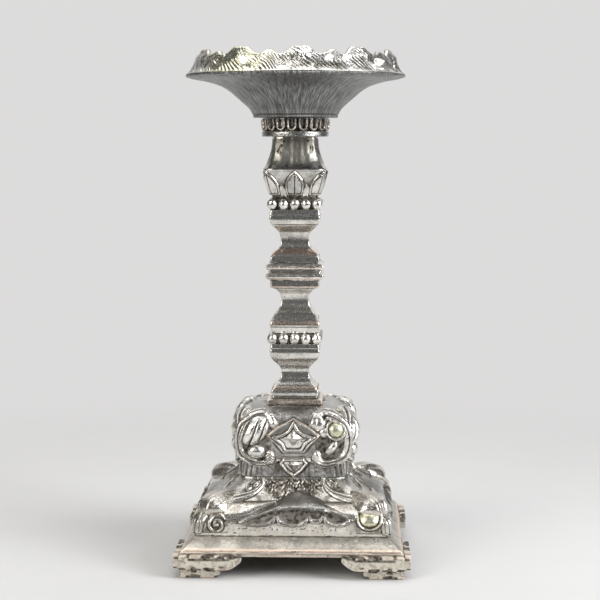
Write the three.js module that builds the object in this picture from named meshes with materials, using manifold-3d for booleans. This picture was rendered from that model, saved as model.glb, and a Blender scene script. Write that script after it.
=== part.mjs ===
// A square baluster altar candlestick of silvered cast metal, 260 mm tall, in millimetres with +Z up.
// The castings are stacked on one tie rod: a pricket clamps the drip pan on top, and a wing nut under a
// clamp bar pulls the rod down inside the hollow base. The origin is on the surface the four feet stand on,
// under the rod, and the front looks along -Y.
import * as THREE from "three";
import { mergeGeometries, mergeVertices } from "three/addons/utils/BufferGeometryUtils.js";
import Module from "manifold-3d";

const wasm = await Module();
wasm.setup();

// Driving dimensions
const GAP = 0.3; // play between pieces that touch or turn on each other
const WALL = 2.6; // wall of the hollow castings
const ROD_RADIUS = 2.5;
const BORE_RADIUS = ROD_RADIUS + GAP;
const CURVE_STEPS = 5; // straight steps in each curve of a profile

const FOOT = { height: 10.6, tierHeight: 4.6, half: 55.4, inside: 49.5, soleLength: 20.5,
  plaqueHalf: 58.7, plaqueTop: 11.8, plaqueLength: 31 };
const PLINTH = { height: 8.7, half: 55.2, topHalf: 48.7, holeHalf: 45.6 };
const DOME = { height: 25.7, half: 48.1 };
const BULB = { height: 34.4, neckHalf: 27.3, belly: 29.8 };
const STEM_FOOT = { height: 4.4, half: 14.2, stepHalf: 12 };
const BALUSTER = { neck: 7.1, bulge: 12.8, block: 12.5 };
const LOWER_BALUSTER_HEIGHT = 26.8;
const MIDDLE_BALUSTER_HEIGHT = 27.1;
const MID_BLOCK = { height: 9.2, half: 12.9, bead: 1.85 };
const UPPER_BALUSTER_HEIGHT = 26.9;
const BEADS = { height: 5.6, half: 11.6, radius: 2.7, perSide: 4 };
const KNOP = { height: 31.3, footHalf: 11.6, belly: 16, bellyHeight: 14.7, neckHalf: 11.4 };
const GALLERY = { height: 9.3, flangeRadius: 17.15, flangeHeight: 2.7, coreRadius: 15, tongues: 18 };
const TONGUE = { radius: 1.9, height: 5.6, outerRadius: 18.3 };
const PAN = { height: 21.7, footRadius: 21.7, rimRadius: 56, floor: 2.6, seatRadius: 20.4 };
const CROWN = { radius: 55.6, topRadius: 49, wall: 1.8, valley: 8.8, lobe: 12.4, smallLobe: 10.3, lobes: 10 };
const CROWN_TURN = 5 * (Math.PI / 180); // the first lobe stands this far to the right of the front
const PRICKET = { flangeRadius: 8, flangeHeight: 2.4, bossRadius: 4.6, bossHeight: 9, height: 27 };
const TOP_WASHER = { radius: 11, height: 1 };
const CLAMP_BAR = { length: 89, width: 14, height: 3, inDome: 1.6 };
const ROD_WASHER = { radius: 8, height: 1 };
const WING_NUT = { hubRadius: 5.5, height: 6, wingSpan: 13, wingDrop: 3, wingWidth: 2.4 };
const ROD_END = 5; // length of rod that shows below the wing nut

// Materials
const silver = new THREE.MeshStandardMaterial({ color: 0xb9b9b4, roughness: 0.28, metalness: 1 });
const wornSilver = new THREE.MeshStandardMaterial({ color: 0xa8a59b, roughness: 0.42, metalness: 1 });
const brushedSilver = new THREE.MeshStandardMaterial({ color: 0x7f8281, roughness: 0.5, metalness: 1 });
const steel = new THREE.MeshStandardMaterial({ color: 0x6f6f70, roughness: 0.45, metalness: 1 });
const materialNames = [["silver", silver], ["worn_silver", wornSilver], ["brushed_silver", brushedSilver],
  ["steel", steel]];
for (const [name, material] of materialNames) {
  material.name = name;
  material.flatShading = true;
}

// Solids

// A closed geometry as a manifold solid, turned right side out if it was wound the other way.
function solidOf(geometry) {
  const bare = geometry.index ? geometry.toNonIndexed() : geometry.clone();
  bare.deleteAttribute("normal");
  bare.deleteAttribute("uv");
  const merged = mergeVertices(bare, 1e-4);
  const vertProperties = merged.attributes.position.array;
  const triVerts = new Uint32Array(merged.index.array);
  const made = new wasm.Manifold(new wasm.Mesh({ numProp: 3, vertProperties, triVerts }));
  if (made.volume() > 0) return made;
  return new wasm.Manifold(new wasm.Mesh({ numProp: 3, vertProperties, triVerts: triVerts.reverse() }));
}

// A named mesh of a manifold solid, standing at height z.
function piece(name, solid, material, z = 0) {
  const mesh = solid.getMesh();
  const geometry = new THREE.BufferGeometry();
  geometry.setAttribute("position", new THREE.BufferAttribute(new Float32Array(mesh.vertProperties), 3));
  geometry.setIndex(new THREE.BufferAttribute(new Uint32Array(mesh.triVerts), 1));
  geometry.computeVertexNormals();
  const made = new THREE.Mesh(geometry, material);
  made.name = name;
  made.position.z = z;
  return made;
}

// A round bar along Z from z = low to z = high.
function bar(radius, low, high, sides = 16) {
  const geometry = new THREE.CylinderGeometry(radius, radius, high - low, sides);
  geometry.rotateX(Math.PI / 2);
  geometry.translate(0, 0, (low + high) / 2);
  return solidOf(geometry);
}

// A box between two corners.
function block(x0, y0, z0, x1, y1, z1) {
  const geometry = new THREE.BoxGeometry(x1 - x0, y1 - y0, z1 - z0);
  geometry.translate((x0 + x1) / 2, (y0 + y1) / 2, (z0 + z1) / 2);
  return solidOf(geometry);
}

// A profile of radius and height, turned about Z. It starts and ends on the axis, or closes on itself.
function turned(points, sides) {
  const geometry = new THREE.LatheGeometry(points, sides);
  geometry.rotateX(Math.PI / 2);
  return solidOf(geometry);
}

// A profile of half width and height run round a square that faces X and Y.
function squared(points) {
  const spread = points.map((p) => new THREE.Vector2(p.x * Math.SQRT2, p.y));
  const geometry = new THREE.LatheGeometry(spread, 4);
  geometry.rotateX(Math.PI / 2);
  geometry.rotateZ(Math.PI / 4);
  return solidOf(geometry);
}

// The points of a path with neighbours that coincide left out, closed on the axis at both ends.
function onAxis(path) {
  const points = path.getPoints(CURVE_STEPS);
  const apart = points.filter((p, i) => i === 0 || p.distanceTo(points[i - 1]) > 1e-6);
  const first = new THREE.Vector2(0, apart[0].y);
  const last = new THREE.Vector2(0, apart.at(-1).y);
  return [first, ...apart, last];
}

// The points of a path, joined back to its start.
function closed(path) {
  const points = path.getPoints(CURVE_STEPS);
  const apart = points.filter((p, i) => i === 0 || p.distanceTo(points[i - 1]) > 1e-6);
  return [...apart, apart[0].clone()];
}

// Rings of equal counts, each [x, y, z], joined into one closed solid with flat ends.
function lofted(rings) {
  const count = rings[0].length;
  const positions = rings.flat(2);
  const index = [];
  for (let row = 0; row < rings.length - 1; row += 1) {
    for (let i = 0; i < count; i += 1) {
      const a = row * count + i;
      const b = row * count + ((i + 1) % count);
      index.push(a, b, b + count, a, b + count, a + count);
    }
  }
  const top = (rings.length - 1) * count;
  for (let i = 1; i < count - 1; i += 1) {
    index.push(0, i + 1, i);
    index.push(top, top + i, top + i + 1);
  }
  const geometry = new THREE.BufferGeometry();
  geometry.setAttribute("position", new THREE.Float32BufferAttribute(positions, 3));
  geometry.setIndex(index);
  return solidOf(geometry);
}

// A square of that half width with rounded corners, as a ring at height z.
function roundedSquare(half, corner, z) {
  const ring = [];
  const cornerSteps = 5;
  for (let quarter = 0; quarter < 4; quarter += 1) {
    for (let step = 0; step <= cornerSteps; step += 1) {
      const angle = (quarter + step / cornerSteps) * (Math.PI / 2);
      const sx = quarter === 0 || quarter === 3 ? 1 : -1;
      const sy = quarter < 2 ? 1 : -1;
      const x = sx * (half - corner) + corner * Math.cos(angle);
      const y = sy * (half - corner) + corner * Math.sin(angle);
      ring.push([x, y, z]);
    }
  }
  return ring;
}

// Rows of [half width, corner radius, height] as one solid, grown outwards and upwards by an offset.
function cushion(rows, offset = 0) {
  return lofted(rows.map(([half, corner, z], i) => {
    const lift = i === 0 ? -offset : offset / 2;
    return roundedSquare(half + offset, corner + offset, z + lift);
  }));
}

// A shape drawn in X and Z, run through Y from near to far.
function frontPrism(shape, near, far) {
  const geometry = new THREE.ExtrudeGeometry(shape, { depth: far - near, bevelEnabled: false,
    curveSegments: CURVE_STEPS });
  geometry.rotateX(Math.PI / 2);
  geometry.translate(0, far, 0);
  return solidOf(geometry);
}

function shapeOf(points) {
  return new THREE.Shape(points.map(([x, z]) => new THREE.Vector2(x, z)));
}

// The same solid four times about Z, named for the side that each one faces.
function onEachSide(stem, solid, material, z, names) {
  return names.map((name, i) => {
    const made = piece(`${stem}_${name}`, solid, material, z);
    made.rotation.z = i * (Math.PI / 2);
    return made;
  });
}
const SIDES = ["front", "right", "rear", "left"];
const CORNERS = ["front_left", "front_right", "rear_right", "rear_left"];

// Base

// A bracket foot at the front left corner: an L-shaped sole, with a taller plaque proud of each outer face.
function bracketFoot() {
  const { half, inside, height, tierHeight, plaqueHalf, plaqueTop, soleLength, plaqueLength } = FOOT;
  const sole = shapeOf([[-half, 0], [-half + soleLength - 2, 0], [-half + soleLength, 2],
    [-half + soleLength, tierHeight], [-half + plaqueLength - 5, tierHeight],
    [-half + plaqueLength - 5, height], [-half, height]]);
  const plaque = new THREE.Shape();
  plaque.moveTo(-half, tierHeight);
  plaque.lineTo(-half + soleLength + 2, tierHeight);
  plaque.quadraticCurveTo(-half + plaqueLength - 5, tierHeight + 3, -half + plaqueLength, height - 1.6);
  plaque.lineTo(-half + plaqueLength, plaqueTop);
  plaque.lineTo(-half, plaqueTop);
  const front = frontPrism(sole, -half, -inside).add(frontPrism(plaque, -plaqueHalf, -inside - 1));
  const underPlinth = block(-half - GAP / 2, -half - GAP / 2, height, 0, 0, height + 5);
  return front.add(front.mirror([1, -1, 0])).subtract(underPlinth);
}

// The moulded square frame that the feet carry: a fillet, a broad cyma and a flat top.
function plinthFrame() {
  const { height, half, topHalf, holeHalf } = PLINTH;
  const path = new THREE.Path();
  path.moveTo(half, 0);
  path.lineTo(half, 2.2);
  path.lineTo(half - 0.8, 3.2);
  path.bezierCurveTo(half - 1.8, 6, topHalf + 1.6, 4.4, topHalf, height - 1);
  path.lineTo(topHalf, height);
  path.lineTo(holeHalf, height);
  path.lineTo(holeHalf, height - 2.4);
  path.lineTo(half - WALL, 1.6);
  path.lineTo(half - WALL, 0);
  return squared(closed(path));
}

const DOME_ROWS = [
  [DOME.half, 2.5, 0],
  [DOME.half, 2.5, 6.4],
  [46.6, 4, 8.2],
  [40.5, 6, 11.8],
  [35.2, 7, 15.2],
  [31.4, 8, 19],
  [28.8, 8, 23],
  [BULB.neckHalf + 0.4, 8, DOME.height],
];
const DOME_HOLLOW_ROWS = [
  [DOME.half - WALL, 2, -1],
  [DOME.half - WALL, 2, 4.2],
  [40.4, 4, 7.6],
  [35, 5, 10.8],
  [29.6, 5, 15],
  [26, 5, 20],
  [BULB.neckHalf - WALL, 5, DOME.height + 1],
];

function domeShell() {
  return cushion(DOME_ROWS).subtract(cushion(DOME_HOLLOW_ROWS));
}

// A roll that runs down the diagonal of the dome and curls under at the front left corner.
function cornerVolute() {
  const halfWidth = 8;
  const outline = new THREE.Shape();
  outline.moveTo(34, 25);
  outline.quadraticCurveTo(44, 21, 51, 18.6);
  outline.quadraticCurveTo(60.6, 15, 59.4, 7.2);
  outline.lineTo(50, 4);
  outline.lineTo(34, 10);
  const roll = frontPrism(outline, -halfWidth, halfWidth).rotate([0, 0, 225]);
  return roll.subtract(cushion(DOME_ROWS, GAP));
}

// A scalloped fan that lies down the front of the dome, between the volutes.
function drapeFan() {
  const fan = new THREE.Shape();
  fan.moveTo(-4, 20.5);
  fan.quadraticCurveTo(-10, 14, -25, 9);
  fan.quadraticCurveTo(-19, 5.2, -11, 7);
  fan.quadraticCurveTo(0, 3.2, 11, 7);
  fan.quadraticCurveTo(19, 5.2, 25, 9);
  fan.quadraticCurveTo(10, 14, 4, 20.5);
  const thickness = 1.6;
  const skin = cushion(DOME_ROWS, GAP + thickness).subtract(cushion(DOME_ROWS, GAP));
  return skin.intersect(frontPrism(fan, -DOME.half - 4, -20));
}

const BULB_ROWS = [
  [BULB.neckHalf, 8, 0],
  [BULB.neckHalf, 8, 7],
  [28.6, 8, 12],
  [BULB.belly, 9, 18],
  [BULB.belly, 9, 24],
  [28.4, 9, 29],
  [24.6, 9, 33],
  [19, 7, BULB.height],
];
const BULB_HOLLOW_ROWS = [
  [BULB.neckHalf - WALL, 5.5, -1],
  [BULB.neckHalf - WALL, 5.5, 8],
  [BULB.belly - WALL, 6, 18],
  [BULB.belly - WALL, 6, 24],
  [22, 6, BULB.height - 4],
];

function bulbShell() {
  const bore = bar(BORE_RADIUS, BULB.height - 6, BULB.height + 1);
  return cushion(BULB_ROWS).subtract(cushion(BULB_HOLLOW_ROWS)).subtract(bore);
}

// Whatever a front outline covers of a skin lying on the bulb.
function onBulb(outline, thickness) {
  const skin = cushion(BULB_ROWS, GAP + thickness).subtract(cushion(BULB_ROWS, GAP));
  return skin.intersect(frontPrism(outline, -BULB.belly - 6, -BULB.belly + 8));
}

// A C-scroll with its back on the front left corner of the bulb and a curl on each face beside it.
function cornerScroll() {
  const centre = { x: -20, z: 20 };
  const opening = 0.75;
  const outline = new THREE.Shape();
  outline.absellipse(centre.x, centre.z, 13, 13, opening, 2 * Math.PI - opening, false);
  outline.absellipse(centre.x + 1, centre.z, 6.4, 6.4, 2 * Math.PI - opening, opening, true);
  const curl = onBulb(outline, 2.2);
  const corner = block(-40, -40, 0, -8, -8, BULB.height + 4);
  const front = curl.intersect(corner);
  return front.add(front.mirror([1, -1, 0]));
}

// A four-pointed star boss in the middle of the bulb's face.
function starRosette() {
  const [width, rise, waist] = [13, 8, 3.6];
  const star = shapeOf([[0, rise], [waist, waist * 0.9], [width, 0], [waist + 1, -rise * 0.9],
    [-waist - 1, -rise * 0.9], [-width, 0], [-waist, waist * 0.9]].map(([x, z]) => [x, z + 21]));
  return onBulb(star, 2);
}

// A pointed lozenge under the star.
function lozengeDrop() {
  const drop = shapeOf([[0, 10.4], [7, 6.4], [0, 0.8], [-7, 6.4]]);
  return onBulb(drop, 1.6);
}

// Stem

// A square casting with the tie rod's bore through it.
function stemCasting(path, height) {
  return squared(onAxis(path)).subtract(bar(BORE_RADIUS, -1, height + 1));
}

function stemFoot() {
  const { height, half, stepHalf } = STEM_FOOT;
  const path = new THREE.Path();
  path.moveTo(half, 0);
  path.lineTo(half, 2.6);
  path.lineTo(half - 0.7, 3.1);
  path.lineTo(stepHalf - 0.5, 3.3);
  path.lineTo(stepHalf - 0.5, height);
  return stemCasting(path, height);
}

function lowerBaluster() {
  const { neck, bulge } = BALUSTER;
  const path = new THREE.Path();
  path.moveTo(12.1, 0);
  path.lineTo(12.1, 3.1);
  path.bezierCurveTo(9.4, 5, neck, 8.2, neck, 11.9);
  path.bezierCurveTo(neck, 16.8, 12, 16.4, bulge, 22.8);
  path.quadraticCurveTo(bulge, 25, 12.4, LOWER_BALUSTER_HEIGHT);
  return stemCasting(path, LOWER_BALUSTER_HEIGHT);
}

function middleBaluster() {
  const { neck, bulge, block: blockHalf } = BALUSTER;
  const path = new THREE.Path();
  path.moveTo(12.5, 0);
  path.quadraticCurveTo(bulge, 1.8, bulge, 3.8);
  path.bezierCurveTo(12.2, 9.6, neck, 10.6, neck, 16.2);
  path.bezierCurveTo(neck, 19.8, 8.6, 22.2, 10.9, 23);
  path.lineTo(blockHalf, 23.4);
  path.lineTo(blockHalf, MIDDLE_BALUSTER_HEIGHT);
  return stemCasting(path, MIDDLE_BALUSTER_HEIGHT);
}

// Two half rounds with a groove between them.
function midBlock() {
  const { height, half, bead } = MID_BLOCK;
  const path = new THREE.Path();
  path.moveTo(half - 0.6, 0);
  path.lineTo(half, 0.5);
  path.absarc(half, 0.5 + bead, bead, -Math.PI / 2, Math.PI / 2, false);
  path.lineTo(half + 0.4, height / 2);
  path.absarc(half, height - 0.5 - bead, bead, -Math.PI / 2, Math.PI / 2, false);
  path.lineTo(half - 0.6, height);
  return stemCasting(path, height);
}

function upperBaluster() {
  const { neck, bulge, block: blockHalf } = BALUSTER;
  const path = new THREE.Path();
  path.moveTo(blockHalf, 0);
  path.lineTo(blockHalf, 2.6);
  path.bezierCurveTo(10.9, 6.4, neck, 5.6, neck, 10.9);
  path.bezierCurveTo(neck, 17.4, 12.4, 17, bulge, 22);
  path.quadraticCurveTo(bulge, 24.6, 12.4, UPPER_BALUSTER_HEIGHT);
  return stemCasting(path, UPPER_BALUSTER_HEIGHT);
}

// A square strip with a bead at each corner and between the corners, all one casting.
function beadBand() {
  const { height, half, radius, perSide } = BEADS;
  const pitch = (2 * half) / perSide;
  const beads = [];
  for (let side = 0; side < 4; side += 1) {
    for (let i = 0; i < perSide; i += 1) {
      const bead = new THREE.SphereGeometry(radius, 8, 6);
      bead.rotateX(Math.PI / 2);
      bead.translate(-half + i * pitch, -half, height / 2);
      bead.rotateZ(side * (Math.PI / 2));
      beads.push(solidOf(bead));
    }
  }
  const strip = block(-half, -half, 0, half, half, height);
  return wasm.Manifold.union([strip, ...beads]).subtract(bar(BORE_RADIUS, -1, height + 1));
}

// The vase-shaped knop: it swells from the beads to a sharp belly and hollows up to a narrow neck.
function vaseKnop() {
  const { height, footHalf, belly, bellyHeight, neckHalf } = KNOP;
  const rows = [
    [footHalf, 3, 0],
    [13, 4, 4.4],
    [14.4, 4.6, 8.4],
    [15.5, 5, 12.2],
    [belly, 5, bellyHeight],
    [14.9, 5, 16.8],
    [13.4, 4.6, 20],
    [12.2, 4.2, 24.2],
    [neckHalf, 4, 29],
    [neckHalf, 4, height],
  ];
  return cushion(rows).subtract(bar(BORE_RADIUS, -1, height + 1));
}

// The round collar under the pan: a flange, and a drum with round-ended tongues hanging round it.
function galleryRing() {
  const { height, flangeRadius, flangeHeight, coreRadius, tongues } = GALLERY;
  const path = new THREE.Path();
  path.moveTo(flangeRadius, 0);
  path.lineTo(flangeRadius, flangeHeight - 0.4);
  path.lineTo(flangeRadius - 0.5, flangeHeight);
  path.lineTo(coreRadius, flangeHeight);
  path.lineTo(coreRadius, height - 1.4);
  path.lineTo(coreRadius + 1.6, height - 0.9);
  path.lineTo(coreRadius + 1.6, height);
  const drum = turned(onAxis(path), 36);
  const { radius, height: tall, outerRadius } = TONGUE;
  const tongue = bar(radius, height - tall + radius, height, 8)
    .add(solidOf(new THREE.SphereGeometry(radius, 8, 6).rotateX(Math.PI / 2)
      .translate(0, 0, height - tall + radius)));
  const row = [];
  for (let i = 0; i < tongues; i += 1) {
    row.push(tongue.translate([0, radius - outerRadius, 0]).rotate([0, 0, (i * 360) / tongues]));
  }
  return wasm.Manifold.union([drum, ...row]).subtract(bar(BORE_RADIUS, -1, height + 1));
}

// Drip pan

// A trumpet-shaped pan, open upwards, with a hole for the tie rod in its floor.
function dripPan() {
  const { height, footRadius, rimRadius, floor, seatRadius } = PAN;
  const path = new THREE.Path();
  path.moveTo(BORE_RADIUS, 0);
  path.lineTo(footRadius, 0);
  path.lineTo(footRadius, 1.4);
  path.bezierCurveTo(27, 9.8, 38, 17.4, rimRadius - 0.2, 20.5);
  path.lineTo(rimRadius, height - 0.5);
  path.lineTo(rimRadius - 0.4, height);
  path.lineTo(rimRadius - 4, height);
  path.bezierCurveTo(38, 19.6, 26, 12, seatRadius, floor + 0.6);
  path.lineTo(seatRadius - 0.8, floor);
  path.lineTo(BORE_RADIUS, floor);
  return turned(closed(path), 48);
}

// The crown's top edge at an angle from its first lobe: tall and low lobes in turn, with notches between.
function crownHeight(angle) {
  const { valley, lobe, smallLobe, lobes } = CROWN;
  const turn = (angle * lobes) / (2 * Math.PI);
  const fromTall = Math.abs(turn - Math.round(turn));
  const tallShare = Math.cos((Math.PI * Math.min(fromTall, 0.26)) / 0.52) ** 2;
  const smallShare = Math.cos((Math.PI * Math.min(0.5 - fromTall, 0.24)) / 0.48) ** 2;
  return valley + (lobe - valley) * tallShare + (smallLobe - valley) * smallShare;
}

// The leafy wall round the pan's edge, leaning inwards and cut into lobes along its top.
function panCrown() {
  const { radius, topRadius, wall, lobe } = CROWN;
  const around = 80;
  const lean = new THREE.QuadraticBezierCurve(new THREE.Vector2(radius, 0), new THREE.Vector2(52, 4.5),
    new THREE.Vector2(topRadius, lobe));
  const levels = 3;
  const outer = [];
  const inner = [];
  for (let level = 0; level <= levels; level += 1) {
    const outerRing = [];
    const innerRing = [];
    for (let i = 0; i < around; i += 1) {
      const angle = (i * 2 * Math.PI) / around;
      const at = lean.getPoint(level / levels);
      const z = (at.y * crownHeight(angle)) / lobe;
      const heading = angle + CROWN_TURN - Math.PI / 2;
      const [c, s] = [Math.cos(heading), Math.sin(heading)];
      outerRing.push([at.x * c, at.x * s, z]);
      innerRing.push([(at.x - wall) * c, (at.x - wall) * s, z]);
    }
    outer.push(outerRing);
    inner.push(innerRing);
  }
  const rings = [...outer, ...inner.reverse(), outer[0]];
  const positions = rings.flat(2);
  const index = [];
  for (let row = 0; row < rings.length - 1; row += 1) {
    for (let i = 0; i < around; i += 1) {
      const a = row * around + i;
      const b = row * around + ((i + 1) % around);
      index.push(a, b, b + around, a, b + around, a + around);
    }
  }
  const geometry = new THREE.BufferGeometry();
  geometry.setAttribute("position", new THREE.Float32BufferAttribute(positions, 3));
  geometry.setIndex(index);
  return solidOf(geometry);
}

// A spike on a round flange, drilled from below for the end of the tie rod.
function pricketSpike() {
  const { flangeRadius, flangeHeight, bossRadius, bossHeight, height } = PRICKET;
  const path = new THREE.Path();
  path.moveTo(flangeRadius, 0);
  path.lineTo(flangeRadius, flangeHeight - 0.6);
  path.lineTo(flangeRadius - 0.8, flangeHeight);
  path.quadraticCurveTo(bossRadius, flangeHeight + 0.6, bossRadius, bossHeight - 2);
  path.lineTo(bossRadius - 0.6, bossHeight);
  path.lineTo(0.4, height);
  return turned(onAxis(path), 20).subtract(bar(BORE_RADIUS, -1, bossHeight - 1.5));
}

function washer(radius, height) {
  return bar(radius, 0, height, 24).subtract(bar(BORE_RADIUS, -1, height + 1));
}

// A nut with two wings that spread outwards and down from its hub.
function wingNut() {
  const { hubRadius, height, wingSpan, wingDrop, wingWidth } = WING_NUT;
  const root = hubRadius - 1.5;
  const wing = new THREE.Shape();
  wing.moveTo(root, 0.4);
  wing.lineTo(root, height - 1);
  wing.quadraticCurveTo(wingSpan, height - 1, wingSpan, -wingDrop + 2);
  wing.quadraticCurveTo(wingSpan - 2, -wingDrop - 1.6, wingSpan - 4, -wingDrop + 2);
  wing.quadraticCurveTo(hubRadius + 2, 0.4, root, 0.4);
  const right = frontPrism(wing, -wingWidth / 2, wingWidth / 2);
  const hub = bar(hubRadius, 0, height, 20);
  return hub.add(right).add(right.mirror([1, 0, 0])).subtract(bar(BORE_RADIUS, -12, height + 1));
}

function clampBar() {
  const { length, width, height } = CLAMP_BAR;
  return block(-length / 2, -width / 2, 0, length / 2, width / 2, height)
    .subtract(bar(BORE_RADIUS, -1, height + 1));
}

// Assembly

const base = new THREE.Group();
base.add(...onEachSide("foot", bracketFoot(), wornSilver, 0, CORNERS));
base.add(piece("plinth_frame", plinthFrame(), wornSilver, FOOT.height));
const domeZ = FOOT.height + PLINTH.height;
base.add(piece("dome_shell", domeShell(), silver, domeZ));
base.add(...onEachSide("corner_volute", cornerVolute(), silver, domeZ, CORNERS));
base.add(...onEachSide("drape_fan", drapeFan(), silver, domeZ, SIDES));
const bulbZ = domeZ + DOME.height;
base.add(piece("bulb_shell", bulbShell(), silver, bulbZ));
base.add(...onEachSide("corner_scroll", cornerScroll(), silver, bulbZ, CORNERS));
base.add(...onEachSide("star_rosette", starRosette(), silver, bulbZ, SIDES));
base.add(...onEachSide("lozenge_drop", lozengeDrop(), silver, bulbZ, SIDES));

const stem = new THREE.Group();
stem.position.z = bulbZ + BULB.height;
const stack = [
  ["stem_foot_block", stemFoot(), wornSilver, STEM_FOOT.height],
  ["lower_baluster", lowerBaluster(), wornSilver, LOWER_BALUSTER_HEIGHT],
  ["lower_bead_band", beadBand(), silver, BEADS.height],
  ["middle_baluster", middleBaluster(), wornSilver, MIDDLE_BALUSTER_HEIGHT],
  ["double_torus_block", midBlock(), wornSilver, MID_BLOCK.height],
  ["upper_baluster", upperBaluster(), wornSilver, UPPER_BALUSTER_HEIGHT],
  ["upper_bead_band", beadBand(), silver, BEADS.height],
  ["vase_knop", vaseKnop(), silver, KNOP.height],
  ["gallery_ring", galleryRing(), silver, GALLERY.height],
];
let stackHeight = 0;
for (const [name, solid, material, height] of stack) {
  stem.add(piece(name, solid, material, stackHeight));
  stackHeight += height;
}

const pan = new THREE.Group();
pan.position.z = stem.position.z + stackHeight + GAP;
pan.add(piece("drip_pan", dripPan(), brushedSilver));
pan.add(piece("pan_crown", panCrown(), silver, PAN.height));
const washerZ = PAN.floor + GAP;
pan.add(piece("pricket_washer", washer(TOP_WASHER.radius, TOP_WASHER.height), steel, washerZ));
const pricketZ = washerZ + TOP_WASHER.height + GAP;
pan.add(piece("pricket_spike", pricketSpike(), steel, pricketZ));

const clamp = new THREE.Group();
const barZ = domeZ + CLAMP_BAR.inDome;
clamp.add(piece("clamp_bar", clampBar(), steel, barZ));
const rodWasherZ = barZ - ROD_WASHER.height;
clamp.add(piece("rod_washer", washer(ROD_WASHER.radius, ROD_WASHER.height), steel, rodWasherZ));
const nutZ = rodWasherZ - GAP - WING_NUT.height;
clamp.add(piece("wing_nut", wingNut(), steel, nutZ));
const rodBottom = nutZ - ROD_END;
const rodTop = pan.position.z + pricketZ + PRICKET.bossHeight - 2;
clamp.add(piece("tie_rod", bar(ROD_RADIUS, rodBottom, rodTop), steel));

const candlestick = new THREE.Group();
candlestick.name = "altar_candlestick";
candlestick.add(base, stem, pan, clamp);

export default candlestick;
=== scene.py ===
"""The altar candlestick's looks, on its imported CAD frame: relief, worn silver plating, studio and camera."""
import math
from collections import namedtuple

import bpy
import numpy as np
from mathutils import Euler, Matrix, Vector


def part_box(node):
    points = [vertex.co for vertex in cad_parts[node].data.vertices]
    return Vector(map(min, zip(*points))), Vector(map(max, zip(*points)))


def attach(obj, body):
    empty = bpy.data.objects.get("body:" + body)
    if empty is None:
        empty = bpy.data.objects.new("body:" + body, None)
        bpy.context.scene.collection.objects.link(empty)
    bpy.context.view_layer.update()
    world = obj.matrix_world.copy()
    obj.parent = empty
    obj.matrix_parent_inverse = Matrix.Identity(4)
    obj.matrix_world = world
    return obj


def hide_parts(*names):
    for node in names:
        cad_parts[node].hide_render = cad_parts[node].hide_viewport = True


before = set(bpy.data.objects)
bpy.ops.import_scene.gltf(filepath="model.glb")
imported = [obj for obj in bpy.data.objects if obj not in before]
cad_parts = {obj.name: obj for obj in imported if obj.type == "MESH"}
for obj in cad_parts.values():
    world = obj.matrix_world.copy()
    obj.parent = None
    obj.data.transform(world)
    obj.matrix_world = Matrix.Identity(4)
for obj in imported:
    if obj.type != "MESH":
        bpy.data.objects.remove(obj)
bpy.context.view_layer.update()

MM = 0.001
TAU = 2 * math.pi
QUARTER = math.pi / 2
SIDES = ["front", "right", "rear", "left"]
CORNERS = ["front_left", "front_right", "rear_right", "rear_left"]

# A surface that is part of a piece: points in mm, quads, how much grime and painted shade darken each point,
# and how rubbed it is, from 0 to 1.
Shell = namedtuple("Shell", "points quads grime edge")


# Frame

def bottom(node):
    """The height of a CAD node's lowest point, in mm."""
    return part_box(node)[0][2] / MM


def top(node):
    """The height of a CAD node's highest point, in mm."""
    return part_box(node)[1][2] / MM


def half_width(node):
    """Half of a CAD node's width along X, in mm."""
    low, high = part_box(node)
    return (high[0] - low[0]) / 2 / MM


# Numbers

def smoothstep(low, high, value):
    """0 at low, 1 at high, and smooth between them."""
    share = np.clip((value - low) / (high - low), 0, 1)
    return share * share * (3 - 2 * share)


def bell(distance, width):
    """1 at distance 0, and less and less at a few widths from it."""
    return np.exp(-(distance / width) ** 2)


def monotone(x, knots, values):
    """A smooth curve through the knots that never overshoots them."""
    knots = np.asarray(knots, float)
    values = np.asarray(values, float)
    steps = np.diff(knots)
    slopes = np.diff(values) / steps
    tangents = np.zeros(len(knots))
    before, after = slopes[:-1], slopes[1:]
    same = before * after > 0
    mean = 2 * before * after / np.where(same, before + after, 1)
    tangents[1:-1] = np.where(same, mean, 0)
    x = np.clip(x, knots[0], knots[-1])
    i = np.clip(np.searchsorted(knots, x, side="right") - 1, 0, len(steps) - 1)
    t = (x - knots[i]) / steps[i]
    rise = (1 + 2 * t) * (1 - t) ** 2 * values[i] + t * t * (3 - 2 * t) * values[i + 1]
    bend = t * (1 - t) ** 2 * tangents[i] - t * t * (1 - t) * tangents[i + 1]
    return rise + bend * steps[i]


class Grain:
    """Smooth noise from -1 to 1 on a lattice of seeded random numbers that repeats every SIZE cells."""
    SIZE = 32

    def __init__(self, seed):
        self.cells = np.random.RandomState(seed).uniform(-1, 1, (self.SIZE,) * 3)

    def __call__(self, x, y, z):
        x, y, z = np.broadcast_arrays(*(np.asarray(v, float) for v in (x, y, z)))
        whole = [np.floor(v).astype(int) for v in (x, y, z)]
        part = [v - w for v, w in zip((x, y, z), whole)]
        part = [p * p * (3 - 2 * p) for p in part]
        total = np.zeros(x.shape)
        for corner in np.ndindex(2, 2, 2):
            weight = np.ones(x.shape)
            for p, c in zip(part, corner):
                weight = weight * (p if c else 1 - p)
            index = tuple((w + c) % self.SIZE for w, c in zip(whole, corner))
            total += weight * self.cells[index]
        return total


ROUGH = Grain(5)
DENTS = Grain(11)


def noise_at(points, scale, grain=ROUGH):
    """Noise at points in mm, with features of about that size."""
    x, y, z = np.moveaxis(points / scale, -1, 0)
    return grain(x, y, z)


def highest(*lifts):
    """The highest of several reliefs at each point."""
    return np.maximum.reduce(np.broadcast_arrays(*lifts))


# Distances in a flat drawing, which the reliefs are made of

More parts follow.
